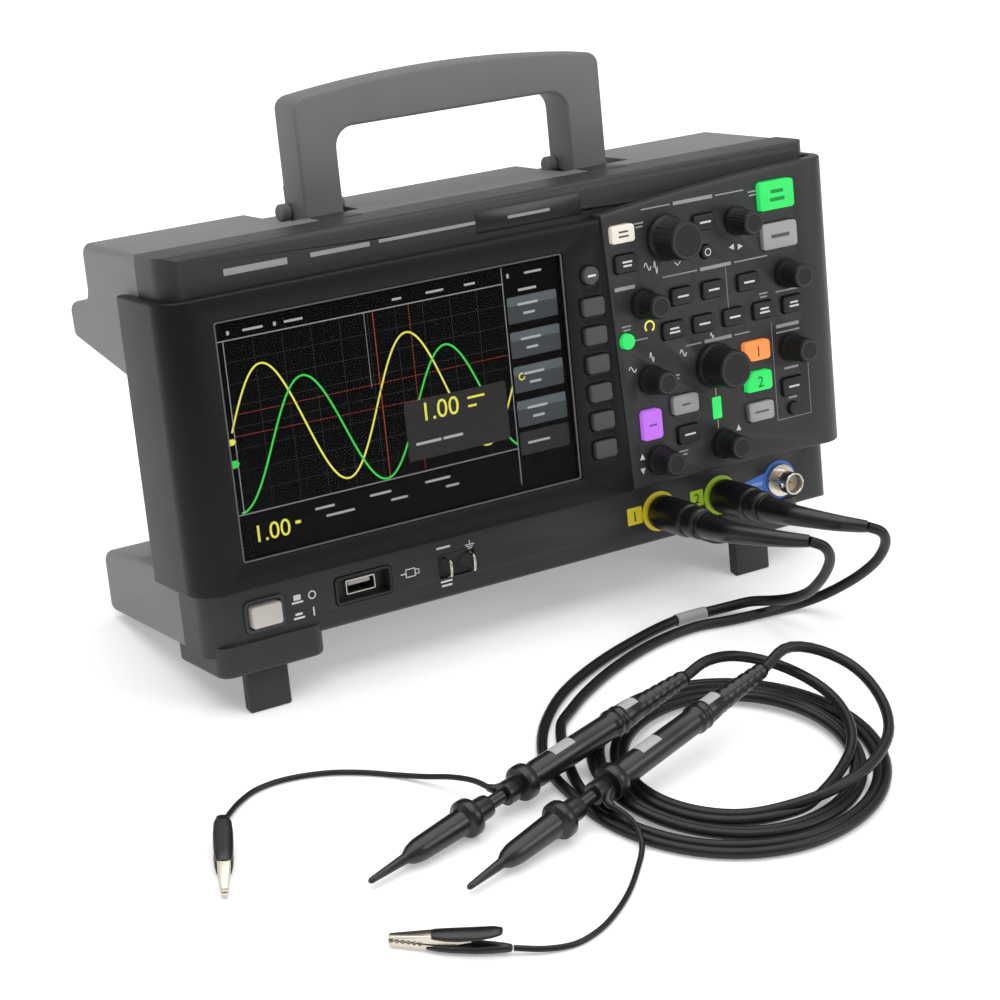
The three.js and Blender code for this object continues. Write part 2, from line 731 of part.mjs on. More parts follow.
const lathe = (profile, sides) =>
  new THREE.LatheGeometry(profile.map(([r, y]) => new THREE.Vector2(r, y)), sides);

// The sleeve that hides the probe's hook, with a finger flange near its back and a bore for the nose.
function hookSleeve(probe) {
  const profile = [
    [0, 0],
    [1.3, 0.4],
    [2, 18],
    [4.2, 23],
    [5.2, 46],
    [7, 49],
    [7, 51.5],
    [5.6, 53],
    [5.6, PROBE.sleeveEnd],
    [PROBE.bore, PROBE.sleeveEnd],
    [PROBE.bore, 24],
    [0, 24],
  ];
  return alongProbe(lathe(profile, 14), probe);
}

function probeBody(probe) {
  const profile = [
    [0, PROBE.noseStart + 4],
    [PROBE.nose, PROBE.noseStart + 4],
    [PROBE.nose, PROBE.bodyStart],
    [4.6, PROBE.bodyStart],
    [4.6, 76],
    [6.2, 78],
    [6.2, 81],
    [5.4, 84],
    [5.2, 128],
    [5.8, 130],
    [5.8, 134],
    [4.6, 137],
    [2.6, PROBE.length],
    [0, PROBE.length],
  ];
  return alongProbe(lathe(profile, 14), probe);
}

function leadCoil() {
  const { inner, outer, high } = COIL;
  const profile = [
    [inner, 0],
    [outer, 0],
    [outer, high],
    [inner, high],
    [inner, 0],
  ];
  return lathe(profile, 40).rotateX(Math.PI / 2).translate(COIL.x, COIL.y, 0);
}

// The thin ground leads, from each probe's collar to its clip.
const groundRoutes = [
  [
    [-89.6, -162.8, 8.6],
    [-92, -153.5, 8],
    [-96.5, -144.5, 6],
    [-102.5, -135.5, 3],
    [-110, -127, 1.2],
    [-120.5, -119, 1.2],
    [-132.5, -112.8, 1.2],
    [-147.8, -109.3, 1.2],
    [-160, -110.2, 1.2],
    [-169, -114.5, 1.2],
    [-176.6, -120.6, 1.8],
    [-182.8, -127, 2.4],
  ],
  [
    [-58.9, -192.9, 10],
    [-56.4, -199.5, 9],
    [-54.6, -206, 6],
    [-57, -213, 3],
    [-63.5, -220.5, 1.2],
    [-76.7, -233.1, 1.2],
    [-90.5, -242.6, 1.2],
    [-100.4, -247, 1.2],
    [-109.8, -248.6, 1.2],
    [-120.1, -246.6, 1.8],
    [-130, -241.8, 2.4],
  ],
];

// A small alligator clip lying on the bench: its lower half with the boot, and the jaw hinged to it.
const CLIP = { length: 42, half: 3.4, hinge: 19, lower: 3.2, upper: 6.6 };
const clips = [
  { heel: [-183, -127.4, 0], turn: 244.5 },
  { heel: [-130.3, -241.6, 0], turn: 144.5 },
];

function placeClip(profile, { heel, turn }) {
  const side = fromSide(outline(profile), -CLIP.half, CLIP.half);
  return side.rotateZ(THREE.MathUtils.degToRad(turn - 90)).translate(...heel);
}

function clipBody(clip) {
  const { length, hinge, lower } = CLIP;
  return placeClip(
    [
      [0.3, 0.2],
      [length - 1, 0.2],
      [length, 1.2],
      [length, lower],
      [hinge, lower],
      [7, 1.9],
      [4, 3.6],
      [0.3, 3.6],
    ],
    clip,
  );
}

function clipJaw(clip) {
  const { length, hinge, lower, upper } = CLIP;
  return placeClip(
    [
      [hinge, lower + GAP],
      [length, lower + GAP],
      [length, lower + 1.5],
      [hinge + 6, upper],
      [4, 9.4],
      [4, 7.6],
    ],
    clip,
  );
}

// ---- the probes with their leads, lying on the bench ----
const probeSet = new THREE.Group();
probeSet.add(node("lead_coil", leadCoil(), CABLE_BLACK));
for (const i of [0, 1]) {
  const n = i + 1;
  probeSet.add(
    node(`probe_lead_${n}`, tube(leadRoutes[i], LEAD.d, LEAD.sides, 40), CABLE_BLACK),
    node(`probe_body_${n}`, probeBody(probes[i]), CABLE_BLACK),
    node(`hook_sleeve_${n}`, hookSleeve(probes[i]), CABLE_BLACK),
    node(`ground_lead_${n}`, tube(groundRoutes[i], GROUND.d, GROUND.sides, 36), CABLE_BLACK),
    node(`ground_clip_${n}`, clipBody(clips[i]), CABLE_BLACK),
    node(`clip_jaw_${n}`, clipJaw(clips[i]), NICKEL),
  );
}

const oscilloscope = new THREE.Group();
oscilloscope.add(instrument, probeSet);

export default oscilloscope;
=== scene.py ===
import math

import bmesh
import bpy
from bpy.props import FloatProperty, FloatVectorProperty, IntProperty, PointerProperty
from mathutils import Matrix, Vector


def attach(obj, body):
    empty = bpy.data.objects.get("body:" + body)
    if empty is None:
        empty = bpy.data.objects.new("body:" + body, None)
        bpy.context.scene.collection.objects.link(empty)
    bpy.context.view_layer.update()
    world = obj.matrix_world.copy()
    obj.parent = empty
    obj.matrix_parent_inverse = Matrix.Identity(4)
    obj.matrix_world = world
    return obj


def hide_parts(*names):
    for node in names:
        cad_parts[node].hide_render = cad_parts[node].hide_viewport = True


bl_info = {
    "name": "Bench oscilloscope",
    "version": (1, 0, 0),
    "blender": (4, 5, 0),
    "location": "3D View > Sidebar > Oscilloscope",
    "description": "A two-channel bench oscilloscope with its probes, built round its packed frame",
    "category": "Add Mesh",
}

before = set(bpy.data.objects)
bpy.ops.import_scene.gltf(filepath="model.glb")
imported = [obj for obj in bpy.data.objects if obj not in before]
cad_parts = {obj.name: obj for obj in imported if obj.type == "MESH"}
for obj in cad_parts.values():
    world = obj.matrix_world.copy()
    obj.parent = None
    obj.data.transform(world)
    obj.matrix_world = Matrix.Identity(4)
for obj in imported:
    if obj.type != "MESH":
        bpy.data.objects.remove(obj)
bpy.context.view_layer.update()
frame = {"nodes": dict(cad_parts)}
NODES = frame["nodes"]

# ---- places, in millimetres ----
# The instrument leans back on its tilt legs: x to the right, y from front to back, z up from the casing's
# underside, y = 0 on the face of the display bezel.
TILT = math.radians(14)
LEAN = (
    Matrix.Translation((0.0, -0.064386, 0.02805))
    @ Matrix.Rotation(-TILT, 4, "X")
    @ Matrix.Scale(0.001, 4)
)
BENCH = Matrix.Scale(0.001, 4)
ROOT = "chassis"

HALF_WIDTH = 157.0
CASE_HALF = 152.0
CASE_TOP = 157.0
FRAME_FACE = 8.0
SEAM = 31.0
WRAP_BACK = 42.0
STRIP_Z = 13.0
SCREEN = {"x": -59.2, "z": 84.5, "w": 152.4, "h": 91.4}
SCREEN_FACE = 2.95
SOFT_X = 30.5
SOFT_ZS = [107.4 - 11.9 * i for i in range(6)]
MAT_KEYS = [
    (48.2, 122.1, 10.6, 7.3), (88.4, 132.7, 11.0, 6.4), (88.7, 120.1, 5.6, 0),
    (74.4, 104.0, 10.6, 7.0), (90.2, 104.0, 10.6, 7.0), (108.5, 104.0, 10.6, 7.0),
    (68.8, 90.6, 10.6, 7.0), (84.2, 90.6, 10.6, 7.0), (99.8, 90.6, 10.6, 7.0),
    (115.4, 90.6, 10.6, 7.0), (131.0, 90.6, 10.6, 7.0), (45.9, 90.0, 6.6, 0),
    (72.4, 45.5, 10.7, 7.5), (128.1, 55.2, 11.0, 7.5), (127.9, 45.5, 5.2, 0),
]
GREEN_ROUND_KEY = 11
KNOBS = {
    "horizontal_scale_knob": (69.0, 129.4, True),
    "horizontal_position_knob": (105.0, 130.5, False),
    "cursors_knob": (129.0, 104.0, False),
    "entry_knob": (55.5, 104.0, False),
    "vertical_scale_knob_1": (56.0, 72.0, False),
    "vertical_scale_knob_2": (88.5, 72.0, True),
    "trigger_level_knob": (129.0, 72.0, False),
    "vertical_position_knob_1": (57.0, 37.5, False),
    "vertical_position_knob_2": (90.5, 37.5, False),
}
BNC_XS = (60.0, 92.0, 123.5)
LEG_LEFTS = (-137.0, 99.0)
LEG_WIDTH = 18.5
HINGE = (57.0, 158.5)
COIL = (7.0, -181.5)

# The leads' routes from each plug to the coil, on the bench's axes.
LEAD_ROUTES = (
    [
        (77.5, -131.5, 56), (83, -134.5, 53.5), (87, -134, 47.5), (89.5, -130, 39),
        (91, -124, 30), (92.5, -116.5, 21.5), (92, -107.5, 14.5), (89.5, -98.5, 9.6),
        (83.5, -90.6, 6.8), (75, -86, 4.2), (66.5, -83.4, 2.8), (58, -82.3, 2.3),
        (50, -82.4, 2.3), (33, -85.9, 2.3), (4, -95.3, 2.3), (-22, -108.2, 2.3),
        (-41, -124, 2.3), (-53, -140, 2.3), (-58.5, -154, 2.3), (-60.2, -167, 2.3),
    ],
    [
        (111, -127.5, 52.5), (116.5, -130.5, 50), (120, -129.5, 43.5), (121, -125, 34),
        (120, -118.5, 25), (117.5, -111, 16.5), (112.5, -103.5, 8.8), (106, -98, 4),
        (97, -95.4, 2.3), (86, -94.6, 2.3), (72, -93.2, 2.3), (54, -90.6, 2.3),
        (31, -93.8, 2.3), (6, -102.4, 2.3), (-14, -112.5, 2.3), (-27, -121, 2.3),
        (-37.5, -129.5, 2.3),
    ],
)
PROBES = (
    {"tip": (-154.4, -185, 3.4), "towards": (12.7, -141.6, 17)},
    {"tip": (-126, -205.2, 3.4), "towards": (29.1, -159.9, 20)},
)
COLLAR_REACH = 79.5
GROUND_ROUTES = (
    [
        (-89.6, -162.8, 8.6), (-92, -153.5, 8), (-96.5, -144.5, 6), (-102.5, -135.5, 3),
        (-110, -127, 1.3), (-120.5, -119, 1.2), (-132.5, -112.8, 1.2), (-147.8, -109.3, 1.2),
        (-160, -110.2, 1.2), (-169, -114.5, 1.4), (-176.6, -120.6, 2.0), (-182.8, -127, 2.6),
    ],
    [
        (-58.9, -192.9, 10), (-56.4, -199.5, 9), (-54.6, -206, 6), (-57, -213, 3),
        (-63.5, -220.5, 1.3), (-76.7, -233.1, 1.2), (-90.5, -242.6, 1.2), (-100.4, -247, 1.2),
        (-109.8, -248.6, 1.2), (-120.1, -246.6, 1.8), (-130, -241.8, 2.6),
    ],
)
CLIPS = (((-183, -127.4), 244.5), ((-130.3, -241.6), 144.5))


# ---- sizes and colours a user would change ----
def colour(name, description, default):
    return FloatVectorProperty(
        name=name, description=description, default=default, subtype="COLOR", size=3, min=0.0, max=1.0
    )


def millimetres(name, description, default):
    return FloatProperty(name=name, description=description, default=default, min=0.0, subtype="DISTANCE")


class ScopeColours(bpy.types.PropertyGroup):
    case: colour("Case", "Rear case moulding", (0.178, 0.176, 0.175))
    handle: colour("Handle", "Carry handle moulding", (0.16, 0.16, 0.163))
    frame: colour("Frame", "Front frame and control panel moulding", (0.028, 0.029, 0.031))
    bezel: colour("Bezel", "Display bezel moulding", (0.0075, 0.0075, 0.0079))
    knob: colour("Knob", "Knob sides", (0.008, 0.008, 0.009))
    knob_face: colour("Knob face", "Ends of the knobs", (0.04, 0.04, 0.041))
    dark_key: colour("Menu key", "Keys beside the display", (0.068, 0.069, 0.072))
    light_key: colour("Grey key", "Light grey keys", (0.36, 0.36, 0.365))
    white_key: colour("White key", "White keys", (0.86, 0.80, 0.72))
    green: colour("Green", "Lit green keys", (0.02, 0.76, 0.13))
    orange: colour("Orange", "Lit orange key", (1.0, 0.30, 0.075))
    purple: colour("Purple", "Lit purple key", (0.53, 0.16, 0.86))
    cable: colour("Cable", "Leads and probes", (0.0075, 0.0075, 0.008))


class ScopeSizes(bpy.types.PropertyGroup):
    lead: millimetres("Lead", "Diameter of a probe lead", 0.0044)
    ground_lead: millimetres("Ground lead", "Diameter of a ground lead", 0.0022)
    lead_length: millimetres("Lead length", "Length of a probe lead from plug to probe", 1.15)
    flutes: IntProperty(name="Flutes", description="Flutes round a knob", default=24, min=8, max=48)


def colours():
    return bpy.context.scene.scope_colours


def sizes():
    return bpy.context.scene.scope_sizes


# ---- finishes ----
def shader(name):
    """The named finish, with its nodes when it is new. The frame's own materials keep their names."""
    material = bpy.data.materials.get("fine_" + name)
    if material:
        return material, None, None
    material = bpy.data.materials.new("fine_" + name)
    material.use_nodes = True
    nodes = material.node_tree.nodes
    return material, nodes, nodes["Principled BSDF"]


def moulded(name, tint, roughness, grain=0.0005, relief=0.25, mottle=0.06, shine=0.35):
    """Moulded plastic: a fine texture, a little uneven in colour and gloss."""
    material, nodes, principled = shader(name)
    if nodes is None:
        return material
    links = material.node_tree.links
    place = nodes.new("ShaderNodeTexCoord")
    texture = nodes.new("ShaderNodeTexNoise")
    texture.inputs["Scale"].default_value = 1 / grain
    texture.inputs["Detail"].default_value = 3.0
    relief_node = nodes.new("ShaderNodeBump")
    relief_node.inputs["Strength"].default_value = relief
    relief_node.inputs["Distance"].default_value = grain / 6
    patches = nodes.new("ShaderNodeTexNoise")
    patches.inputs["Scale"].default_value = 45.0
    patches.inputs["Detail"].default_value = 4.0
    gloss = nodes.new("ShaderNodeMapRange")
    gloss.inputs["To Min"].default_value = roughness - 0.06
    gloss.inputs["To Max"].default_value = roughness + 0.08
    tones = nodes.new("ShaderNodeValToRGB")
    ramp = tones.color_ramp
    ramp.elements[0].color = (*[c * (1 - mottle) for c in tint], 1)
    ramp.elements[1].color = (*[min(1, c * (1 + mottle)) for c in tint], 1)
    ramp.elements[0].position, ramp.elements[1].position = 0.3, 0.7
    links.new(place.outputs["Object"], texture.inputs["Vector"])
    links.new(place.outputs["Object"], patches.inputs["Vector"])
    links.new(texture.outputs["Fac"], relief_node.inputs["Height"])
    links.new(relief_node.outputs["Normal"], principled.inputs["Normal"])
    links.new(patches.outputs["Fac"], gloss.inputs["Value"])
    links.new(gloss.outputs["Result"], principled.inputs["Roughness"])
    links.new(patches.outputs["Fac"], tones.inputs["Fac"])
    links.new(tones.outputs["Color"], principled.inputs["Base Color"])
    principled.inputs["Specular IOR Level"].default_value = shine
    return material


def lit(name, tint, glow, spot=0.12):
    """A translucent key or screen mark lit from behind, a little brighter in patches; on printed tags,
    socket rings and strip lines the glow is painted.
    """
    material, nodes, principled = shader(name)
    if nodes is None:
        return material
    links = material.node_tree.links
    place = nodes.new("ShaderNodeTexCoord")
    patches = nodes.new("ShaderNodeTexNoise")
    patches.inputs["Scale"].default_value = 160.0
    tones = nodes.new("ShaderNodeValToRGB")
    tones.color_ramp.elements[0].color = (*[c * (1 - spot) for c in tint], 1)
    tones.color_ramp.elements[1].color = (*[min(1, c * (1 + spot)) for c in tint], 1)
    links.new(place.outputs["Object"], patches.inputs["Vector"])
    links.new(patches.outputs["Fac"], tones.inputs["Fac"])
    principled.inputs["Base Color"].default_value = (*[c * (1 - 0.8 * glow) for c in tint], 1)
    links.new(tones.outputs["Color"], principled.inputs["Emission Color"])
    principled.inputs["Emission Strength"].default_value = glow
    principled.inputs["Roughness"].default_value = 0.45
    return material


def plated(name, tint, roughness):
    """Nickel or sheet metal with fine brush marks."""
    material, nodes, principled = shader(name)
    if nodes is None:
        return material
    links = material.node_tree.links
    place = nodes.new("ShaderNodeTexCoord")
    stretch = nodes.new("ShaderNodeMapping")
    stretch.inputs["Scale"].default_value = (1.0, 14.0, 1.0)
    marks = nodes.new("ShaderNodeTexNoise")
    marks.inputs["Scale"].default_value = 700.0
    gloss = nodes.new("ShaderNodeMapRange")
    gloss.inputs["To Min"].default_value = roughness - 0.08
    gloss.inputs["To Max"].default_value = roughness + 0.12
    relief_node = nodes.new("ShaderNodeBump")
    relief_node.inputs["Strength"].default_value = 0.08
    relief_node.inputs["Distance"].default_value = 0.00005
    links.new(place.outputs["Object"], stretch.inputs["Vector"])
    links.new(stretch.outputs["Vector"], marks.inputs["Vector"])
    links.new(marks.outputs["Fac"], gloss.inputs["Value"])
    links.new(gloss.outputs["Result"], principled.inputs["Roughness"])
    links.new(marks.outputs["Fac"], relief_node.inputs["Height"])
    links.new(relief_node.outputs["Normal"], principled.inputs["Normal"])
    principled.inputs["Base Color"].default_value = (*tint, 1)
    principled.inputs["Metallic"].default_value = 1.0
    return material


def case_grey():
    return moulded("case_grey", colours().case, 0.5, grain=0.0006, relief=0.22, mottle=0.03)


def handle_grey():
    return moulded("handle_grey", colours().handle, 0.55, grain=0.0006, relief=0.22, mottle=0.03)


def frame_charcoal():
    return moulded("frame_charcoal", colours().frame, 0.42, grain=0.00045, relief=0.2)


def bezel_black():
    return moulded("bezel_black", colours().bezel, 0.32, grain=0.0004, relief=0.08, shine=0.17)


def trace_yellow():
    return lit("trace_yellow", (0.85, 0.82, 0.10), 1.0)


def trace_green():
    return lit("trace_green", (0.03, 0.70, 0.06), 1.0)


def word_grey():
    return lit("word_grey", (0.46, 0.47, 0.48), 0.8)


def tag_pale():
    return moulded("tag_pale", (0.42, 0.42, 0.42), 0.5, relief=0.05)


def ink_black():
    return moulded("ink_black", (0.01, 0.01, 0.01), 0.6)


def cable_black():
    return moulded("cable_black", colours().cable, 0.36, grain=0.0009, relief=0.12, mottle=0.15)


def probe_black():
    return moulded("probe_black", colours().cable, 0.3, grain=0.0005, relief=0.15, mottle=0.1, shine=0.5)


def silk_grey():
    return moulded("silk_grey", (0.34, 0.34, 0.34), 0.6, relief=0.05)


def silk_white():
    return moulded("silk_white", (0.72, 0.72, 0.71), 0.6, relief=0.05)


def nickel():
    return plated("nickel", (0.62, 0.58, 0.5), 0.24)


# ---- outlines, in millimetres ----
def filleted(corners, steps=6):
    """An outline from (a, b, radius) corners, each rounded by its radius."""
    points = []
    for i, (a, b, radius) in enumerate(corners):
        here = Vector((a, b))
        u = (Vector(corners[i - 1][:2]) - here).normalized()
        v = (Vector(corners[(i + 1) % len(corners)][:2]) - here).normalized()
        if radius <= 0:
            points.append((a, b))
            continue
        half = u.angle(v) / 2
        centre = here + (u + v).normalized() * radius / math.sin(half)
        start = here + u * radius / math.tan(half) - centre
        end = here + v * radius / math.tan(half) - centre
        first = math.atan2(start.y, start.x)
        sweep = (math.atan2(end.y, end.x) - first + math.pi) % (2 * math.pi) - math.pi
        for k in range(steps + 1):
            at = first + sweep * k / steps
            points.append((centre.x + radius * math.cos(at), centre.y + radius * math.sin(at)))
    return points


def box_outline(x, z, w, h, r=1.2, steps=5):
    a, b = w / 2, h / 2
    corners = [(x + a, z + b, r), (x - a, z + b, r), (x - a, z - b, r), (x + a, z - b, r)]
    return filleted(corners, steps)


def round_outline(x, z, r, sides=32):
    return [
        (x + r * math.cos(2 * math.pi * k / sides), z + r * math.sin(2 * math.pi * k / sides))
        for k in range(sides)
    ]


def key_outline(x, z, w, h, grow=0.0):
    if h == 0:
        return round_outline(x, z, w / 2 + grow)
    return box_outline(x, z, w + 2 * grow, h + 2 * grow, 1.3 + grow)


# ---- mesh parts: lists of points and faces ----
VIEWS = {
    "front": lambda a, b, t: (a, t, b),
    "plan": lambda a, b, t: (a, b, t),
    "side": lambda a, b, t: (t, a, b),
}


def prism(outline, low, high, view="front"):
    """A prism of an outline seen from the front (x, z), from above (x, y) or from the side (y, z)."""
    place = VIEWS[view]
    count = len(outline)
    points = [place(a, b, t) for t in (low, high) for a, b in outline]
    faces = [list(range(count)), list(range(2 * count - 1, count - 1, -1))]
    for i in range(count):
        j = (i + 1) % count
        faces.append([i, j, count + j, count + i])
    return points, faces


def block(x0, x1, y0, y1, z0, z1):
    return prism([(x0, z0), (x1, z0), (x1, z1), (x0, z1)], y0, y1)


def rings(loops, closed=False, capped=True):
    """A skin over a row of loops with the same number of points each."""
    count = len(loops[0])
    points = [p for loop in loops for p in loop]
    faces = []
    for k in range(len(loops) - (0 if closed else 1)):
        m = (k + 1) % len(loops)
        for i in range(count):
            j = (i + 1) % count
            faces.append([k * count + i, k * count + j, m * count + j, m * count + i])
    if capped and not closed:
        faces.append(list(range(count - 1, -1, -1)))
        faces.append([(len(loops) - 1) * count + i for i in range(count)])
    return points, faces


def turned(profile, x=0.0, z=0.0, sides=48, wave=None):
    """A piece turned about an axis along y; wave(angle, radius, y) may change a radius."""
    loops = []
    for r, y in profile:
        loop = []
        for k in range(sides):
            at = 2 * math.pi * k / sides
            reach = wave(at, r, y) if wave else r
            loop.append((x + reach * math.cos(at), y, z + reach * math.sin(at)))
        loops.append(loop)
    return rings(loops)


def swept(points, radii, sides=20, steps=4):
    """A tube along a smooth line through the points, with a radius at each."""
    line, width = [], []
    path = [Vector(p) for p in points]
    for i in range(len(path) - 1):
        p0, p1 = path[max(i - 1, 0)], path[i]
        p2, p3 = path[i + 1], path[min(i + 2, len(path) - 1)]
        for k in range(steps):
            t = k / steps
            line.append(
                0.5
                * (
                    2 * p1
                    + (p2 - p0) * t
                    + (2 * p0 - 5 * p1 + 4 * p2 - p3) * t * t
                    + (3 * p1 - p0 - 3 * p2 + p3) * t * t * t
                )
            )
            width.append(radii[i] + (radii[i + 1] - radii[i]) * t)
    line.append(path[-1])
    width.append(radii[-1])
    across = (line[1] - line[0]).orthogonal().normalized()
    loops = []
    for i, here in enumerate(line):
        ahead = (line[min(i + 1, len(line) - 1)] - line[max(i - 1, 0)]).normalized()
        across = (across - ahead * across.dot(ahead)).normalized()
        up = ahead.cross(across)
        loops.append(
            [
                tuple(
                    here
                    + width[i] * (
                        math.cos(2 * math.pi * k / sides) * across + math.sin(2 * math.pi * k / sides) * up
                    )
                )
                for k in range(sides)
            ]
        )
    return rings(loops)


def along(part, start, towards):
    """A part drawn along +y, laid from start towards a point."""
    start = Vector(start)
    turn = Vector((0, 1, 0)).rotation_difference((Vector(towards) - start).normalized())
    points, faces = part
    return [tuple(turn @ Vector(p) + start) for p in points], faces


# ---- making pieces ----
def build(name, parts):
    mesh = bpy.data.meshes.new(name)
    work = bmesh.new()
    for points, faces in parts:
        made = [work.verts.new(p) for p in points]
        for face in faces:
            work.faces.new([made[i] for i in face])
    bmesh.ops.remove_doubles(work, verts=work.verts, dist=1e-5)
    bmesh.ops.recalc_face_normals(work, faces=work.faces)
    work.to_mesh(mesh)
    work.free()
    piece = bpy.data.objects.new(name, mesh)
    bpy.context.scene.collection.objects.link(piece)
    return piece


def settle(piece):
    """Applies the piece's modifiers."""
    bpy.context.view_layer.update()
    graph = bpy.context.evaluated_depsgraph_get()
    mesh = bpy.data.meshes.new_from_object(piece.evaluated_get(graph))
    old = piece.data
    piece.modifiers.clear()
    piece.data = mesh
    bpy.data.meshes.remove(old)


def boolean(piece, parts, operation="DIFFERENCE"):
    for part in parts:
        tool = build(piece.name + "_tool", [part])
        step = piece.modifiers.new("step", "BOOLEAN")
        step.operation = operation
        step.object = tool
        step.solver = "EXACT"
        settle(piece)
        bpy.data.objects.remove(tool)
    return piece


def carve(piece, parts):
    """Cuts parts that don't touch each other, all at once."""
    tool = build(piece.name + "_tool", parts)
    step = piece.modifiers.new("step", "BOOLEAN")
    step.object = tool
    step.solver = "EXACT"
    settle(piece)
    bpy.data.objects.remove(tool)
    return piece


def hand_over(piece, material, body=ROOT, place=LEAN, stands_for=(), smooth=32):
    """Gives a piece its finish, its place and the body it moves with."""
    piece.data.transform(place)
    piece.data.materials.clear()
    piece.data.materials.append(material)
    for face in piece.data.polygons:
        face.use_smooth = True
        face.material_index = 0
    piece.data.set_sharp_from_angle(angle=math.radians(smooth))
    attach(piece, body)
    if stands_for:
        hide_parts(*stands_for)
    return piece


def ribbon(points, width, y, depth=0.05):
    """One flat ribbon through points in the front view."""
    left, right = [], []
    for i, (a, b) in enumerate(points):
        ahead = Vector(points[min(i + 1, len(points) - 1)]) - Vector(points[max(i - 1, 0)])
        side = Vector((-ahead.y, ahead.x)).normalized() * width / 2
        left.append((a + side.x, b + side.y))
        right.append((a - side.x, b - side.y))
    loops = []
    for (la, lb), (ra, rb) in zip(left, right):
        loops.append([(la, y, lb), (ra, y, rb), (ra, y - depth, rb), (la, y - depth, lb)])
    return rings(loops)


# ---- camera and leads, made first ----
class SCOPE_OT_camera(bpy.types.Operator):
    """Place the camera that looks down on the instrument's left front corner"""

    bl_idname = "scope.camera"
    bl_label = "Camera"

    def execute(self, context):
        camera = bpy.data.cameras.new("view")
        camera.lens = 94.19
        camera.sensor_width = 36.0
        camera.clip_end = 20.0
        eye = bpy.data.objects.new("view", camera)
        eye.location = (-0.533, -0.846, 0.53909)
        eye.rotation_euler = [math.radians(a) for a in (63.229, -1.8513, -31.9625)]
        context.scene.collection.objects.link(eye)
        context.scene.camera = eye
        return {"FINISHED"}


def wire(name, points, diameter, material, stands_for):
    """A round cord as one smooth open spline through points in millimetres."""
    curve = bpy.data.curves.new(name, "CURVE")
    curve.dimensions = "3D"
    curve.bevel_depth = diameter / 2
    curve.bevel_resolution = 5
    curve.resolution_u = 5
    curve.use_fill_caps = True
    line = curve.splines.new("BEZIER")
    line.bezier_points.add(len(points) - 1)
    path = [Vector(p) * 0.001 for p in points]
    for i, (knot, here) in enumerate(zip(line.bezier_points, path)):
        before, after = path[max(i - 1, 0)], path[min(i + 1, len(path) - 1)]
        along_line = (after - before).normalized()
        knot.co = here
        knot.handle_left_type = knot.handle_right_type = "FREE"
        knot.handle_left = here - along_line * (here - before).length / 3
        knot.handle_right = here + along_line * (after - here).length / 3
    curve.materials.append(material)
    cord = bpy.data.objects.new(name, curve)
    bpy.context.scene.collection.objects.link(cord)
    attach(cord, ROOT)
    if stands_for:
        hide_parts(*stands_for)
    return cord


def probe_point(number, reach, up=0.0):
    """A point on a probe's axis, reach millimetres from its tip."""
    tip, towards = Vector(PROBES[number]["tip"]), Vector(PROBES[number]["towards"])
    return tip + (towards - tip).normalized() * reach + Vector((0, 0, up))


def coil_point(degrees, radius, height):
    """A point in the coil; its turns are a little oval."""
    at = math.radians(degrees)
    wide = radius * (1 + 0.025 * math.cos(2 * at - 0.6))
    return (COIL[0] + wide * math.cos(at), COIL[1] + wide * math.sin(at), height)


def lead_points(number):
    """The whole line of one lead: hanging from its plug, round the coil and up into its probe."""
    points = list(LEAD_ROUTES[number])
    step = 22.5
    if number == 0:
        first, last, outer, pitch = 190.0, 1022.0, 62.5, 9.2
    else:
        first, last, outer, pitch = 152.0, 968.0, 60.5, 9.2
    at = first
    while at <= last:
        turn = (at - first) / 360
        settle_in = 3.0 * max(0.0, 1 - turn * 4)
        height = 2.3 + (0.9 + 0.9 * math.sin(math.radians(at) * 1.5 + number)) * min(1.0, turn)
        points.append(coil_point(at, outer + settle_in - pitch * turn, height))
        at += step
    mouth = probe_point(number, 172.3)
    away = (probe_point(number, 172.3) - probe_point(number, 100)).normalized()
    climb = (
        [(1045, 44, 6.4), (1067, 48.5, 9.3), (1090, 53, 11.3), (1112, 56, 13.4), (1131, 55.5, 15.8)],
        [
            (990, 42, 6.4), (1012, 47.5, 9.3), (1034, 54, 11.4), (1056, 60.5, 13.5),
            (1078, 65, 16.2), (1096, 66.5, 19),
        ],
    )[number]
    points += [coil_point(*place) for place in climb]
    points.append(tuple(mouth + away * (14, 18)[number] + Vector((0, 0, 0.8))))
    points.append(tuple(mouth))
    return points


class SCOPE_OT_leads(bpy.types.Operator):
    """Lay both probe leads from their plugs round the coil to their probes, and the thin ground leads"""

    bl_idname = "scope.leads"
    bl_label = "Leads"

    def execute(self, context):
        for i in (0, 1):
            cord = wire(
                f"lead_{i + 1}",
                lead_points(i),
                sizes().lead,
                cable_black(),
                [f"probe_lead_{i + 1}"] + (["lead_coil"] if i == 0 else []),
            )
            boot = probe_boot(i)
            plug_boot = plug_strain_relief(i)
            if i == 0:
                tag = build(
                    "lead_tag",
                    [
                        swept(
                            [(65.5, -83.05, 2.65), (58, -82.3, 2.35), (51, -82.35, 2.35)],
                            [2.6, 2.6, 2.6],
                            24,
                            6,
                        )
                    ],
                )
                hand_over(tag, tag_pale(), place=BENCH)
            thin = wire(
                f"thin_lead_{i + 1}",
                GROUND_ROUTES[i],
                sizes().ground_lead,
                cable_black(),
                [f"ground_lead_{i + 1}"],
            )
            clip = clip_boot(i)
        return {"FINISHED"}


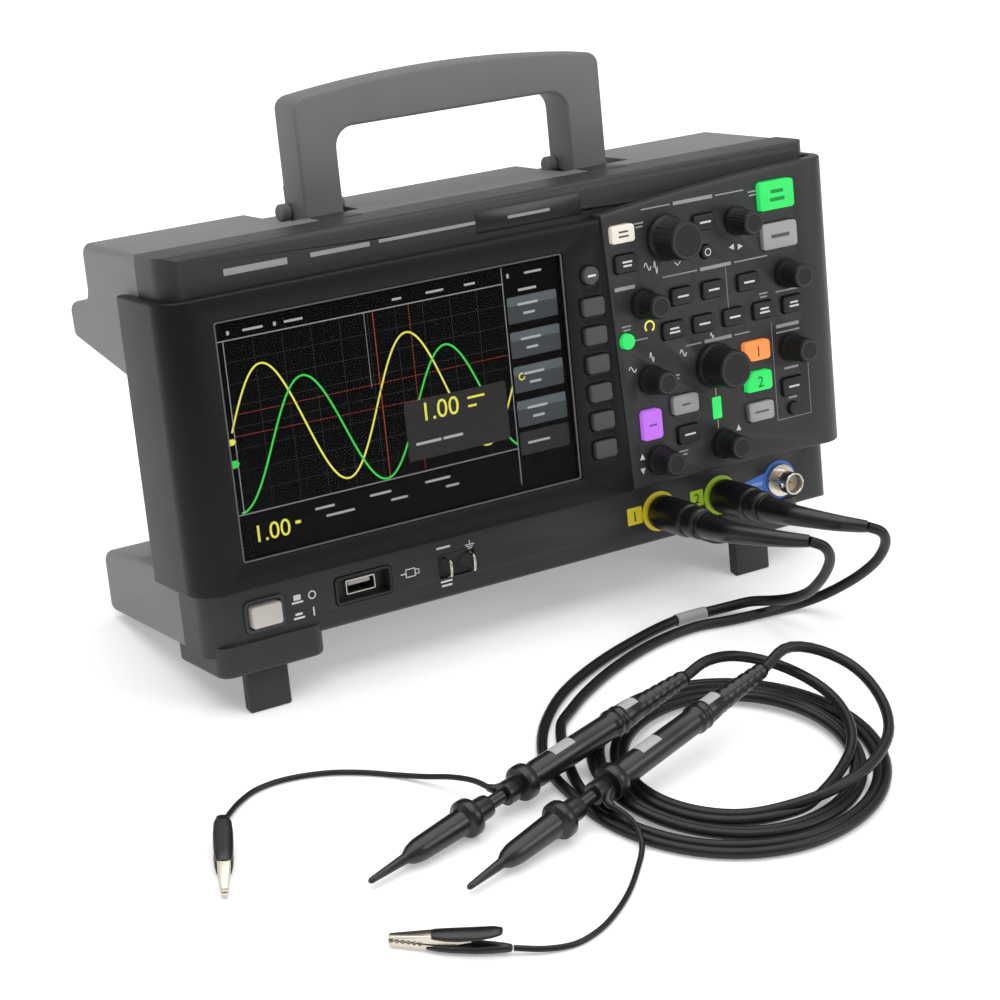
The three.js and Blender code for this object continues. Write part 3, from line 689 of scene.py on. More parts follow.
def probe_boot(number):
    """The ribbed boot at the back of a probe."""
    profile = [(0.01, 133.8), (4.9, 133.8), (5.2, 134.6), (5.0, 139), (4.7, 141)]
    ribs = 7
    for k in range(ribs):
        start = 141 + 31.0 * k / ribs
        r = 4.6 - 1.5 * k / ribs
        profile += [(r, start + 0.6), (r, start + 2.6), (r - 0.75, start + 3.0), (r - 0.8, start + 4.1)]
    profile += [(2.9, 171.6), (2.45, 172), (0.01, 172)]
    piece = build(
        f"probe_boot_{number + 1}",
        [along(turned(profile, sides=32), PROBES[number]["tip"], PROBES[number]["towards"])],
    )
    return hand_over(piece, probe_black(), place=BENCH, smooth=40)


def plug_strain_relief(number):
    """The plug's long tapered boot, bent over to the side where the lead hangs from it."""
    x = BNC_XS[number]
    mouth = Vector(LEAD_ROUTES[number][0])
    start = LEAN @ Vector((x, -25.5, STRIP_Z)) * 1000
    out = LEAN @ Vector((x, -45.0, STRIP_Z)) * 1000
    bend = out.lerp(mouth, 0.55) + Vector((-0.8, -1.6, 0.6))
    line = [start, start.lerp(out, 0.5), out + Vector((0.5, 0, 0.2)), bend, mouth]
    radii = [5.7, 5.1, 4.4, 3.5, 2.5]
    piece = build(f"plug_boot_{number + 1}", [swept(line, radii, 28, 6)])
    return hand_over(piece, probe_black(), place=BENCH, smooth=50)


def clip_frame(number):
    (x, y), degrees = CLIPS[number]
    at = math.radians(degrees)
    return Matrix.Translation(
        (x * 0.001, y * 0.001, 0)
    ) @ Matrix.Rotation(at, 4, "Z") @ Matrix.Scale(0.001, 4)


def lofted(sections, sides=20):
    """A skin over oval sections along x: (x, centre height, half width, half height)."""
    loops = []
    for x, high, half, tall in sections:
        loops.append(
            [
                (
                    x,
                    half * math.cos(2 * math.pi * k / sides),
                    high + tall * math.sin(2 * math.pi * k / sides),
                )
                for k in range(sides)
            ]
        )
    return rings(loops)


def clip_boot(number):
    """The clip's soft boot over its lower half, with the lead going in at the heel."""
    sections = [
        (0.0, 2.6, 0.9, 0.9), (0.6, 2.6, 1.5, 1.4), (3.0, 2.5, 1.9, 1.7), (7.0, 2.3, 2.6, 1.9),
        (12.0, 2.1, 3.3, 1.9), (20.0, 2.1, 3.7, 1.95), (25.0, 2.0, 3.4, 1.8),
        (29.0, 1.9, 2.7, 1.5), (29.6, 1.9, 2.2, 1.2), (29.7, 1.9, 1.4, 0.8),
    ]
    piece = build(f"clip_boot_{number + 1}", [lofted(sections)])
    return hand_over(
        piece,
        probe_black(),
        place=clip_frame(number),
        stands_for=[f"ground_clip_{number + 1}"],
        smooth=60,
    )


# ---- casing ----
def soften_edges(piece, width, segments=3, angle=30, where=None):
    """Rounds the convex edges sharper than an angle, in the places asked for."""
    work = bmesh.new()
    work.from_mesh(piece.data)
    edges = [
        e
        for e in work.edges
        if len(e.link_faces) == 2
        and e.calc_face_angle(0.0) > math.radians(angle)
        and (where is None or where((e.verts[0].co + e.verts[1].co) / 2))
    ]
    bmesh.ops.bevel(
        work,
        geom=edges,
        offset=width,
        segments=segments,
        profile=0.5,
        affect="EDGES",
        clamp_overlap=False,
    )
    work.to_mesh(piece.data)
    work.free()
    return piece


def away_from_seam(point):
    return point.y > SEAM + 1.5


class SCOPE_OT_rear_case(bpy.types.Operator):
    """Build the stepped grey rear case: shoulder, waist and foot"""

    bl_idname = "scope.rear_case"
    bl_label = "Rear case"

    def execute(self, context):
        back = SEAM + 0.3
        upper = filleted(
            [
                (back, 104, 0),
                (45, 104, 6), (104, 116.5, 3.5), (105, 130.6, 4), (84, 134.5, 6),
                (84, CASE_TOP, 5),
                (back, CASE_TOP, 0),
            ]
        )
        lower = filleted([(back, 0, 0), (106, 0, 4), (106, 26, 5), (68, 30, 4), (back, 30, 0)])
        piece = build("rear_shell", [prism(upper, -CASE_HALF, CASE_HALF, "side")])
        soften_edges(piece, 3.0, 5, 60, away_from_seam)
        foot = build("rear_foot", [prism(lower, -CASE_HALF, CASE_HALF, "side")])
        soften_edges(foot, 3.0, 5, 60, away_from_seam)
        right = [(CASE_HALF, back, 0), (CASE_HALF, 41, 5), (113, 61, 5), (113, 98, 4)]
        waist = filleted(right + [(-x, y, r) for x, y, r in reversed(right)])
        middle = build("rear_waist", [prism(waist, 24, 112, "plan")])
        for other in (foot, middle):
            step = piece.modifiers.new("step", "BOOLEAN")
            step.operation = "UNION"
            step.object = other
            step.solver = "EXACT"
            settle(piece)
            bpy.data.objects.remove(other)
        cutters = []
        for side in (-1, 1):
            cutters.append(block(*sorted((side * 48.5, side * 82)), 42, 96, 153.5, 170))
        carve(piece, cutters)
        vents = []
        for k in range(14):
            vents.append(block(10 + 6.2 * k, 13 + 6.2 * k, 92, 105, 44, 78))
        vents.append(block(-88.3, -59.7, 90, 110, 44.7, 69.3))
        carve(piece, vents)
        hand_over(piece, case_grey(), stands_for=["rear_case"])
        feet = []
        for side in (-1, 1):
            high = [(y * math.sin(TILT) - 28.05) / math.cos(TILT) for y in (94, 104)]
            feet.append(
                prism(
                    [(94, 1), (94, high[0]), (104, high[1]), (104, 1)],
                    *sorted((side * 112, side * 134)),
                    "side",
                )
            )
        pads = build("rear_pads", feet)
        soften_edges(pads, 1.0, 3, 40)
        hand_over(pads, moulded("foot_rubber", (0.02, 0.02, 0.021), 0.75))
        screws = []
        for x, z in ((-140, 14), (140, 14), (-100, 90), (100, 90)):
            y = 106 if z < 20 else 98
            screws.append(
                turned(
                    [
                        (0.01, y - 0.4),
                        (1.2, y - 0.4),
                        (1.4, y + 0.5),
                        (2.9, y + 0.6),
                        (3.1, y + 0.2),
                        (3.1, y - 1),
                        (0.01, y - 1),
                    ],
                    x,
                    z,
                    24,
                )
            )
        hand_over(
            build("rear_screws", screws), plated("screw_steel", (0.4, 0.4, 0.41), 0.35)
        )
        return {"FINISHED"}


class SCOPE_OT_front_frame(bpy.types.Operator):
    """Build the charcoal front frame with its openings, leg pods and the label strip along its brow"""

    bl_idname = "scope.front_frame"
    bl_label = "Front frame"

    def execute(self, context):
        corner = 9.0
        plan = filleted(
            [
                (-CASE_HALF, SEAM, 0),
                (-CASE_HALF, FRAME_FACE, corner),
                (CASE_HALF, FRAME_FACE, corner),
                (CASE_HALF, SEAM, 0),
            ],
            8,
        )
        side = filleted(
            [(FRAME_FACE, 0, 2.2), (SEAM, 0, 0), (SEAM, CASE_TOP, 0), (FRAME_FACE, CASE_TOP, 3.6)], 6
        )
        piece = build("front_body", [prism(plan, 0, CASE_TOP, "plan")])
        boolean(piece, [prism(side, -200, 200, "side")], "INTERSECT")
        inset = CASE_HALF - 3
        boolean(piece, [block(-inset, inset, FRAME_FACE + 3, SEAM + 5, 3, CASE_TOP - 3)])
        holes = [
            block(-137.2, 18.8, 0, 20, 36.6, 132.4),
            block(23, 38, 0, 20, 43, 127),
            block(40.5, 146, 0, 20, 30.5, 141.5),
            block(114, 138, 0, 20, 142, 146),
            prism(box_outline(-127.2, 13.5, 16.4, 12.2, 2), FRAME_FACE - 1, FRAME_FACE + 1.0),
            prism(box_outline(-83, 14.4, 26, 12, 2), 0, 20),
            prism(box_outline(-40, 13.5, 17, 10, 1.5), 0, 20),
        ]
        holes += [prism(round_outline(x, STRIP_Z, 5.4, 28), 0, 20) for x in BNC_XS]
        carve(piece, holes)
        boolean(piece, [prism(box_outline(-127.2, 13.5, 13.9, 9.7, 1.2), 0, 20)])
        soften_edges(piece, 0.35, 2, 40, lambda p: p.y < FRAME_FACE + 1.2 and not (30 < p.z < 141))
        hand_over(piece, frame_charcoal(), stands_for=["front_frame"])
        label = build(
            "brow_label",
            [prism(box_outline(9.5, 148.4, 50, 8.6, 0.8), FRAME_FACE - 0.15, FRAME_FACE + 0.3)],
        )
        soften_edges(label, 0.1, 2, 50)
        hand_over(
            label, moulded("label_gloss", (0.014, 0.014, 0.0145), 0.22, relief=0.03)
        )
        for i, left in enumerate(LEG_LEFTS):
            x0, x1 = left - 12, left + LEG_WIDTH + 16
            outline = filleted([(x0, 44, 0), (x0, 6, 6), (x1, 6, 6), (x1, 44, 0)], 8)
            pod = build(f"leg_pod_{i + 1}", [prism(outline, -8.6, 4, "plan")])
            soften_edges(pod, 1.8, 4, 50, lambda p: p.z < -8)
            well = block(left - 0.7, left + LEG_WIDTH + 0.7, 10.3, 42, -20, -1)
            boolean(pod, [well])
            boolean(
                pod, [block(x0 - 1, x1 + 1, SEAM, 60, -0.3, 20), block(x0 - 1, x1 + 1, 11, 60, 2.9, 20)]
            )
            hand_over(pod, frame_charcoal())
        # Dark charcoal blocks lying on the case top just in front of the handle's legs.
        for i, side in enumerate((-1, 1)):
            stop = build(
                f"handle_stop_{i + 1}",
                [block(*sorted((side * 54.5, side * 72)), SEAM - 4, 41.4, CASE_TOP - 3, CASE_TOP + 0.25)],
            )
            soften_edges(stop, 0.8, 3, 40)
            hand_over(stop, frame_charcoal())
        return {"FINISHED"}


def wrap_plan(side, inner, corner=12.0):
    """Plan of a cover that wraps round one side; side is -1 on the left, 1 on the right."""
    out = side * HALF_WIDTH
    inside = side * (CASE_HALF + 0.3)
    back = FRAME_FACE - 0.3
    return filleted(
        [
            (inner, 0, 0),
            (out, 0, corner),
            (out, WRAP_BACK, 1.2),
            (inside, WRAP_BACK, 1.2),
            (inside, back, 3),
            (inner, back, 0),
        ],
        10,
    )


class SCOPE_OT_bezel(bpy.types.Operator):
    """Build the black display bezel that wraps round the left side"""

    bl_idname = "scope.bezel"
    bl_label = "Display bezel"

    def execute(self, context):
        piece = build("bezel", [prism(wrap_plan(-1, 60), 0, 160, "plan")])
        face = filleted([(-200, 26.5, 0), (43, 26.5, 0.6), (38, 142, 0.6), (-200, 141, 0)])
        boolean(piece, [prism(face, -1, WRAP_BACK + 1)], "INTERSECT")
        soften_edges(piece, 1.1, 4, 50, lambda p: (p.z > 140 or p.z < 27) and p.y < WRAP_BACK + 1)
        holes = [
            prism(box_outline(SCREEN["x"], SCREEN["z"], SCREEN["w"] + 3.2, SCREEN["h"] + 3.2, 1.4), -5, 12)
        ]
        holes += [prism(box_outline(SOFT_X, z, 11.0, 7.8, 1.5), -5, 12) for z in SOFT_ZS]
        holes.append(prism(round_outline(SOFT_X, 120.3, 4.0), -5, 12))
        carve(piece, holes)
        soften_edges(piece, 0.3, 2, 50, lambda p: p.y < 0.05 and p.x < 37 and 27 < p.z < 140)
        hand_over(piece, bezel_black(), stands_for=["display_bezel"])
        wide, high = SCREEN["w"] + 2.6, SCREEN["h"] + 2.6
        rim = build("screen_rim", [prism(box_outline(SCREEN["x"], SCREEN["z"], wide, high, 1.2), 0.5, 1.0)])
        boolean(rim, [prism(box_outline(SCREEN["x"], SCREEN["z"], wide - 1.2, high - 1.2, 0.8), -1, 2)])
        hand_over(rim, moulded("rim_grey", (0.11, 0.11, 0.112), 0.4))
        return {"FINISHED"}


def panel_top(x):
    """Height of the control panel's arched upper edge."""
    t = min(1.0, max(0.0, (x - 38) / 108))
    return 143.2 + 7.2 * (1 - (1 - t) ** 1.6)


class SCOPE_OT_control_panel(bpy.types.Operator):
    """Build the charcoal control panel that wraps round the right side, with its key openings"""

    bl_idname = "scope.control_panel"
    bl_label = "Control panel"

    def execute(self, context):
        piece = build("panel", [prism(wrap_plan(1, 20), 0, 160, "plan")])
        arch = [(x, panel_top(x)) for x in [150 - 8 * k for k in range(14)]]
        face = [(43.3, 27.2), (95, 27.2), (200, 24.6), (200, 151)] + arch + [(38.3, 143.2)]
        boolean(piece, [prism(face, -1, WRAP_BACK + 1)], "INTERSECT")
        soften_edges(piece, 1.1, 4, 50, lambda p: p.z > 142.6 or p.z < 27.6)
        holes = []
        for key in CAP_KEYS.values():
            holes.append(prism(key["hole"], -5, 12))
        holes += [prism(key_outline(x, z, w, h, 0.35), -5, 12) for x, z, w, h in MAT_KEYS]
        holes += [prism(round_outline(x, z, 3.7, 24), -5, 12) for x, z, _ in KNOBS.values()]
        carve(piece, holes)
        soften_edges(piece, 0.28, 2, 50, lambda p: p.y < 0.05 and 28 < p.z < 145 and p.x > 39)
        hand_over(piece, frame_charcoal(), stands_for=["control_panel"])
        return {"FINISHED"}


# ---- keys ----
def clipped_key(x, z, w, h, low):
    """A channel key with its left corner cut off, at the bottom or the top."""
    a, b = w / 2, h / 2
    if low:
        corners = [
            (x + a, z + b, 1.6),
            (x - a, z + b, 1.6),
            (x - a, z + 0.6, 1.2),
            (x - a + 3.6, z - b, 1.6),
            (x + a, z - b, 1.6),
        ]
    else:
        corners = [
            (x + a, z + b, 1.6),
            (x - a + 3.6, z + b, 1.6),
            (x - a, z - 0.6, 1.2),
            (x - a, z - b, 1.6),
            (x + a, z - b, 1.6),
        ]
    return filleted(corners, 5)


def cap(outline, hole, finish, slot):
    return {"outline": outline, "hole": hole, "finish": finish, "slot": slot}


CAP_KEYS = {
    "run_stop_key": cap(
        box_outline(126, 138.2, 18, 12, 1.6), box_outline(126, 138.2, 18.7, 12.7, 1.9), "green", "key_green"
    ),
    "single_key": cap(
        box_outline(126.3, 121, 18, 11, 1.6), box_outline(126.3, 121, 18.7, 11.7, 1.9), "light", "key_grey"
    ),
    "auto_scale_key": cap(
        box_outline(47.5, 134.5, 11.3, 7.2, 1.3),
        box_outline(47.5, 134.5, 12, 7.9, 1.6),
        "white",
        "key_white",
    ),
    "channel_1_key": cap(
        clipped_key(110.2, 74, 13.5, 8.4, True),
        box_outline(110.2, 74, 14.2, 9.1, 1.6),
        "orange",
        "key_orange",
    ),
    "channel_2_key": cap(
        clipped_key(110.2, 60.8, 13.5, 8.4, False),
        box_outline(110.2, 60.8, 14.2, 9.1, 1.6),
        "green",
        "key_green",
    ),
    "external_key": cap(
        box_outline(110.2, 47.7, 13.2, 8, 1.6),
        box_outline(110.2, 47.7, 13.9, 8.7, 1.9),
        "light",
        "key_grey",
    ),
    "fft_key": cap(
        box_outline(71.6, 58.6, 13.2, 8, 1.6), box_outline(71.6, 58.6, 13.9, 8.7, 1.9), "light", "key_grey"
    ),
    "math_key": cap(
        box_outline(54.2, 53.2, 9.8, 12.6, 1.6),
        box_outline(54.2, 53.2, 10.5, 13.3, 1.9),
        "purple",
        "key_purple",
    ),
}
KEY_FACE = -1.8


def key_finish(word):
    if word == "green":
        return lit("key_green", colours().green, 0.75)
    if word == "orange":
        return lit("key_orange", colours().orange, 0.7)
    if word == "purple":
        return lit("key_purple", colours().purple, 0.7)
    if word == "white":
        return lit("key_white", colours().white_key, 0.35, 0.05)
    if word == "light":
        return moulded("key_light", colours().light_key, 0.5)
    return moulded("key_dark", colours().dark_key, 0.55, relief=0.12)


def key_cap(name, outline, face=KEY_FACE, back=FRAME_FACE + 1):
    piece = build(name, [prism(outline, face, back)])
    soften_edges(piece, 0.55, 4, 50, lambda p: p.y < face + 0.1)
    return piece


def bars(x, z, lengths, y, pitch=1.6, thick=0.62, depth=0.05):
    """Short plain bars, one under another, where a key carries its legend."""
    parts = []
    top = z + pitch * (len(lengths) - 1) / 2
    for i, length in enumerate(lengths):
        parts.append(prism(box_outline(x, top - pitch * i, length, thick, 0.25, 2), y - depth, y))
    return parts


class SCOPE_OT_keys(bpy.types.Operator):
    """Build the keys of the bezel and the control panel, with plain bars for their legends"""

    bl_idname = "scope.keys"
    bl_label = "Keys"

    def execute(self, context):
        for name, key in CAP_KEYS.items():
            piece = key_cap(name + "_cap", key["outline"])
            hand_over(piece, key_finish(key["finish"]), name, stands_for=[name])
        for i, z in enumerate(SOFT_ZS):
            name = f"softkey_{i + 1}"
            piece = key_cap(name + "_cap", box_outline(SOFT_X, z, 10.4, 7.2, 1.3))
            hand_over(piece, key_finish("dark"), name, stands_for=[name])
        piece = key_cap("back_key_cap", round_outline(SOFT_X, 120.3, 3.7))
        hand_over(piece, key_finish("dark"), "back_key", stands_for=["back_key"])
        dark = moulded("key_rubber", (0.016, 0.0165, 0.018), 0.5, relief=0.12)
        parts = []
        for i, (x, z, w, h) in enumerate(MAT_KEYS):
            if i == GREEN_ROUND_KEY:
                continue
            parts.append(key_cap("mat_key", key_outline(x, z, w, h), -1.5, FRAME_FACE + 4))
        parts.append(
            build("mat", [prism(box_outline(93.4, 86, 103, 108, 3), FRAME_FACE + 3.6, FRAME_FACE + 5)])
        )
        mat = joined(parts, "key_mat")
        hand_over(mat, dark, stands_for=["menu_keypad"])
        x, z, w, h = MAT_KEYS[GREEN_ROUND_KEY]
        button = key_cap("entry_light", round_outline(x, z, w / 2), -1.5, FRAME_FACE + 3.5)
        hand_over(button, key_finish("green"))
        self.legends()
        return {"FINISHED"}

    def legends(self):
        face = -1.5
        light = []
        for i, (x, z, w, h) in enumerate(MAT_KEYS):
            if i in (GREEN_ROUND_KEY, 14):
                continue
            if h == 0:
                light += ribbon_ring(x, z, 1.4, 0.4, face)
                continue
            lengths = {0: [4.8, 4.2], 6: [4.6, 5.4], 9: [4.4, 5.2], 10: [4.2, 5.0]}.get(i, [5.6])
            light += bars(x + 0.2, z, lengths, face, thick=0.8)
        hand_over(build("mat_key_legends", light), silk_white())
        for name, lengths in {
            "run_stop_key": [6.6, 7.6],
            "single_key": [9.6],
            "auto_scale_key": [4.6, 5.0],
            "external_key": [7.4],
            "fft_key": [4.2],
            "math_key": [4.0],
        }.items():
            outline = CAP_KEYS[name]["outline"]
            x = (max(p[0] for p in outline) + min(p[0] for p in outline)) / 2
            z = (max(p[1] for p in outline) + min(p[1] for p in outline)) / 2
            big = name in ("run_stop_key", "single_key")
            marks = bars(x, z, lengths, KEY_FACE, 3.4 if big else 1.9, 1.5 if big else 0.8)
            shade = {
                "green": (0.01, 0.28, 0.05), "purple": (0.25, 0.06, 0.45)
            }.get(CAP_KEYS[name]["finish"], (0.09, 0.09, 0.09))
            ink = moulded("ink_" + CAP_KEYS[name]["finish"], shade, 0.6, relief=0.03)
            hand_over(build(name + "_legend", marks), ink, name)
        hand_over(
            build("back_key_legend", bars(SOFT_X, 120.3, [4.0], KEY_FACE, thick=0.9)),
            silk_white(),
            "back_key",
        )
        for name, digit, shade in (
            ("channel_1_key", "1", (0.16, 0.05, 0.01)), ("channel_2_key", "2", (0.0, 0.13, 0.03))
        ):
            outline = CAP_KEYS[name]["outline"]
            z = (max(p[1] for p in outline) + min(p[1] for p in outline)) / 2
            mark = numeral(name + "_digit", digit, 110.6, z - 2.5, 6.6, KEY_FACE - 0.04)
            hand_over(
                mark, moulded("ink_" + name, shade, 0.6, relief=0.03), name
            )


def ribbon_ring(x, z, r, width, y, start=0, sweep=360, steps=20):
    points = [
        (
            x + r * math.cos(math.radians(start + sweep * k / steps)),
            z + r * math.sin(math.radians(start + sweep * k / steps)),
        )
        for k in range(steps + 1)
    ]
    return [ribbon(points, width, y)]


def numeral(name, text, x, z, size, y, depth=0.06):
    """Digits as a thin solid facing the front, their foot at z, centred on x."""
    font = bpy.data.curves.new(name, "FONT")
    font.body = text
    font.size = size
    font.align_x = "CENTER"
    font.extrude = depth / 2
    writing = bpy.data.objects.new(name + "_writing", font)
    bpy.context.scene.collection.objects.link(writing)
    bpy.context.view_layer.update()
    graph = bpy.context.evaluated_depsgraph_get()
    mesh = bpy.data.meshes.new_from_object(writing.evaluated_get(graph))
    bpy.data.objects.remove(writing)
    mesh.transform(Matrix.Translation((x, y, z)) @ Matrix.Rotation(math.radians(90), 4, "X"))
    mesh.name = name
    piece = bpy.data.objects.new(name, mesh)
    bpy.context.scene.collection.objects.link(piece)
    return piece


def joined(pieces, name):
    """Several pieces as one."""
    work = bmesh.new()
    for piece in pieces:
        work.from_mesh(piece.data)
        bpy.data.objects.remove(piece)
    mesh = bpy.data.meshes.new(name)
    work.to_mesh(mesh)
    work.free()
    whole = bpy.data.objects.new(name, mesh)
    bpy.context.scene.collection.objects.link(whole)
    return whole


# ---- knobs ----
class SCOPE_OT_knobs(bpy.types.Operator):
    """Build the nine fluted knobs, each with a lighter turned face"""

    bl_idname = "scope.knobs"
    bl_label = "Knobs"

    def execute(self, context):
        flutes = sizes().flutes
        side_finish = moulded("knob_side", colours().knob, 0.5, relief=0.15)
        face_finish = moulded("knob_face", colours().knob_face, 0.45, relief=0.12)
        for name, (x, z, big) in KNOBS.items():
            base, top, out = (9.6, 8.0, -16.0) if big else (6.3, 5.0, -13.0)

            def grip(at, r, y):
                if out + 1.2 < y < -3.2 and r > 3.2:
                    return r - 0.16 * (1 - math.cos(flutes * at))
                return r

            profile = [
                (0.01, FRAME_FACE + 2.6),
                (3.0, FRAME_FACE + 2.6),
                (3.0, -0.7),
                (base - 0.3, -0.7),
                (base, -1.0),
                (base, -2.0),
                (base - 0.5, -2.7),
                (top + 0.75, -3.1),
                (top + 0.7, -3.4),
                (top + 0.1, out + 1.6),
                (top, out + 1.0),
                (top - 0.1, out + 0.55),
                (top - 0.35, out + 0.2),
                (top - 0.75, out + 0.02),
                (top - 0.9, out + 0.02),
            ]
            body = build(name + "_grip", [turned(profile, x, z, 4 * flutes, grip)])
            hand_over(body, side_finish, name, stands_for=[name], smooth=38)
            face = build(
                name + "_face",
                [
                    turned(
                        [
                            (0.01, out + 0.9),
                            (top - 0.85, out + 0.9),
                            (top - 0.85, out - 0.0),
                            (top - 1.3, out - 0.0),
                            (top - 1.6, out + 0.12),
                            (0.01, out + 0.16),
                        ],
                        x,
                        z,
                        48,
                    )
                ],
            )
            hand_over(face, face_finish, name, smooth=25)
        return {"FINISHED"}


# ---- display ----
def on_screen(u, v):
    """A place on the display: u from 0 at its left to 1, v from 0 at its foot to 1."""
    return (SCREEN["x"] + (u - 0.5) * SCREEN["w"], SCREEN["z"] + (v - 0.5) * SCREEN["h"])


def wave_points(peak_u, period, middle, height, first, last, steps=110):
    points = []
    for k in range(steps + 1):
        u = first + (last - first) * k / steps
        points.append(on_screen(u, middle + height * math.cos(2 * math.pi * (u - peak_u) / period)))
    return points


def rule(u0, v0, u1, v1, width, y, dashes=0):
    (ax, az), (bx, bz) = on_screen(u0, v0), on_screen(u1, v1)
    if not dashes:
        return [ribbon([(ax, az), (bx, bz)], width, y)]
    parts = []
    for k in range(dashes):
        s, e = k / dashes, (k + 0.55) / dashes
        parts.append(
            ribbon(
                [(ax + (bx - ax) * s, az + (bz - az) * s), (ax + (bx - ax) * e, az + (bz - az) * e)],
                width,
                y,
            )
        )
    return parts


def dashes_at(u, v, widths, y, thick=0.9, gap=1.0):
    """A row of short bars that stands for small writing."""
    x, z = on_screen(u, v)
    parts = []
    for width in widths:
        parts.append(prism(box_outline(x + width / 2, z, width, thick, 0.2, 2), y - 0.05, y))
        x += width + gap
    return parts


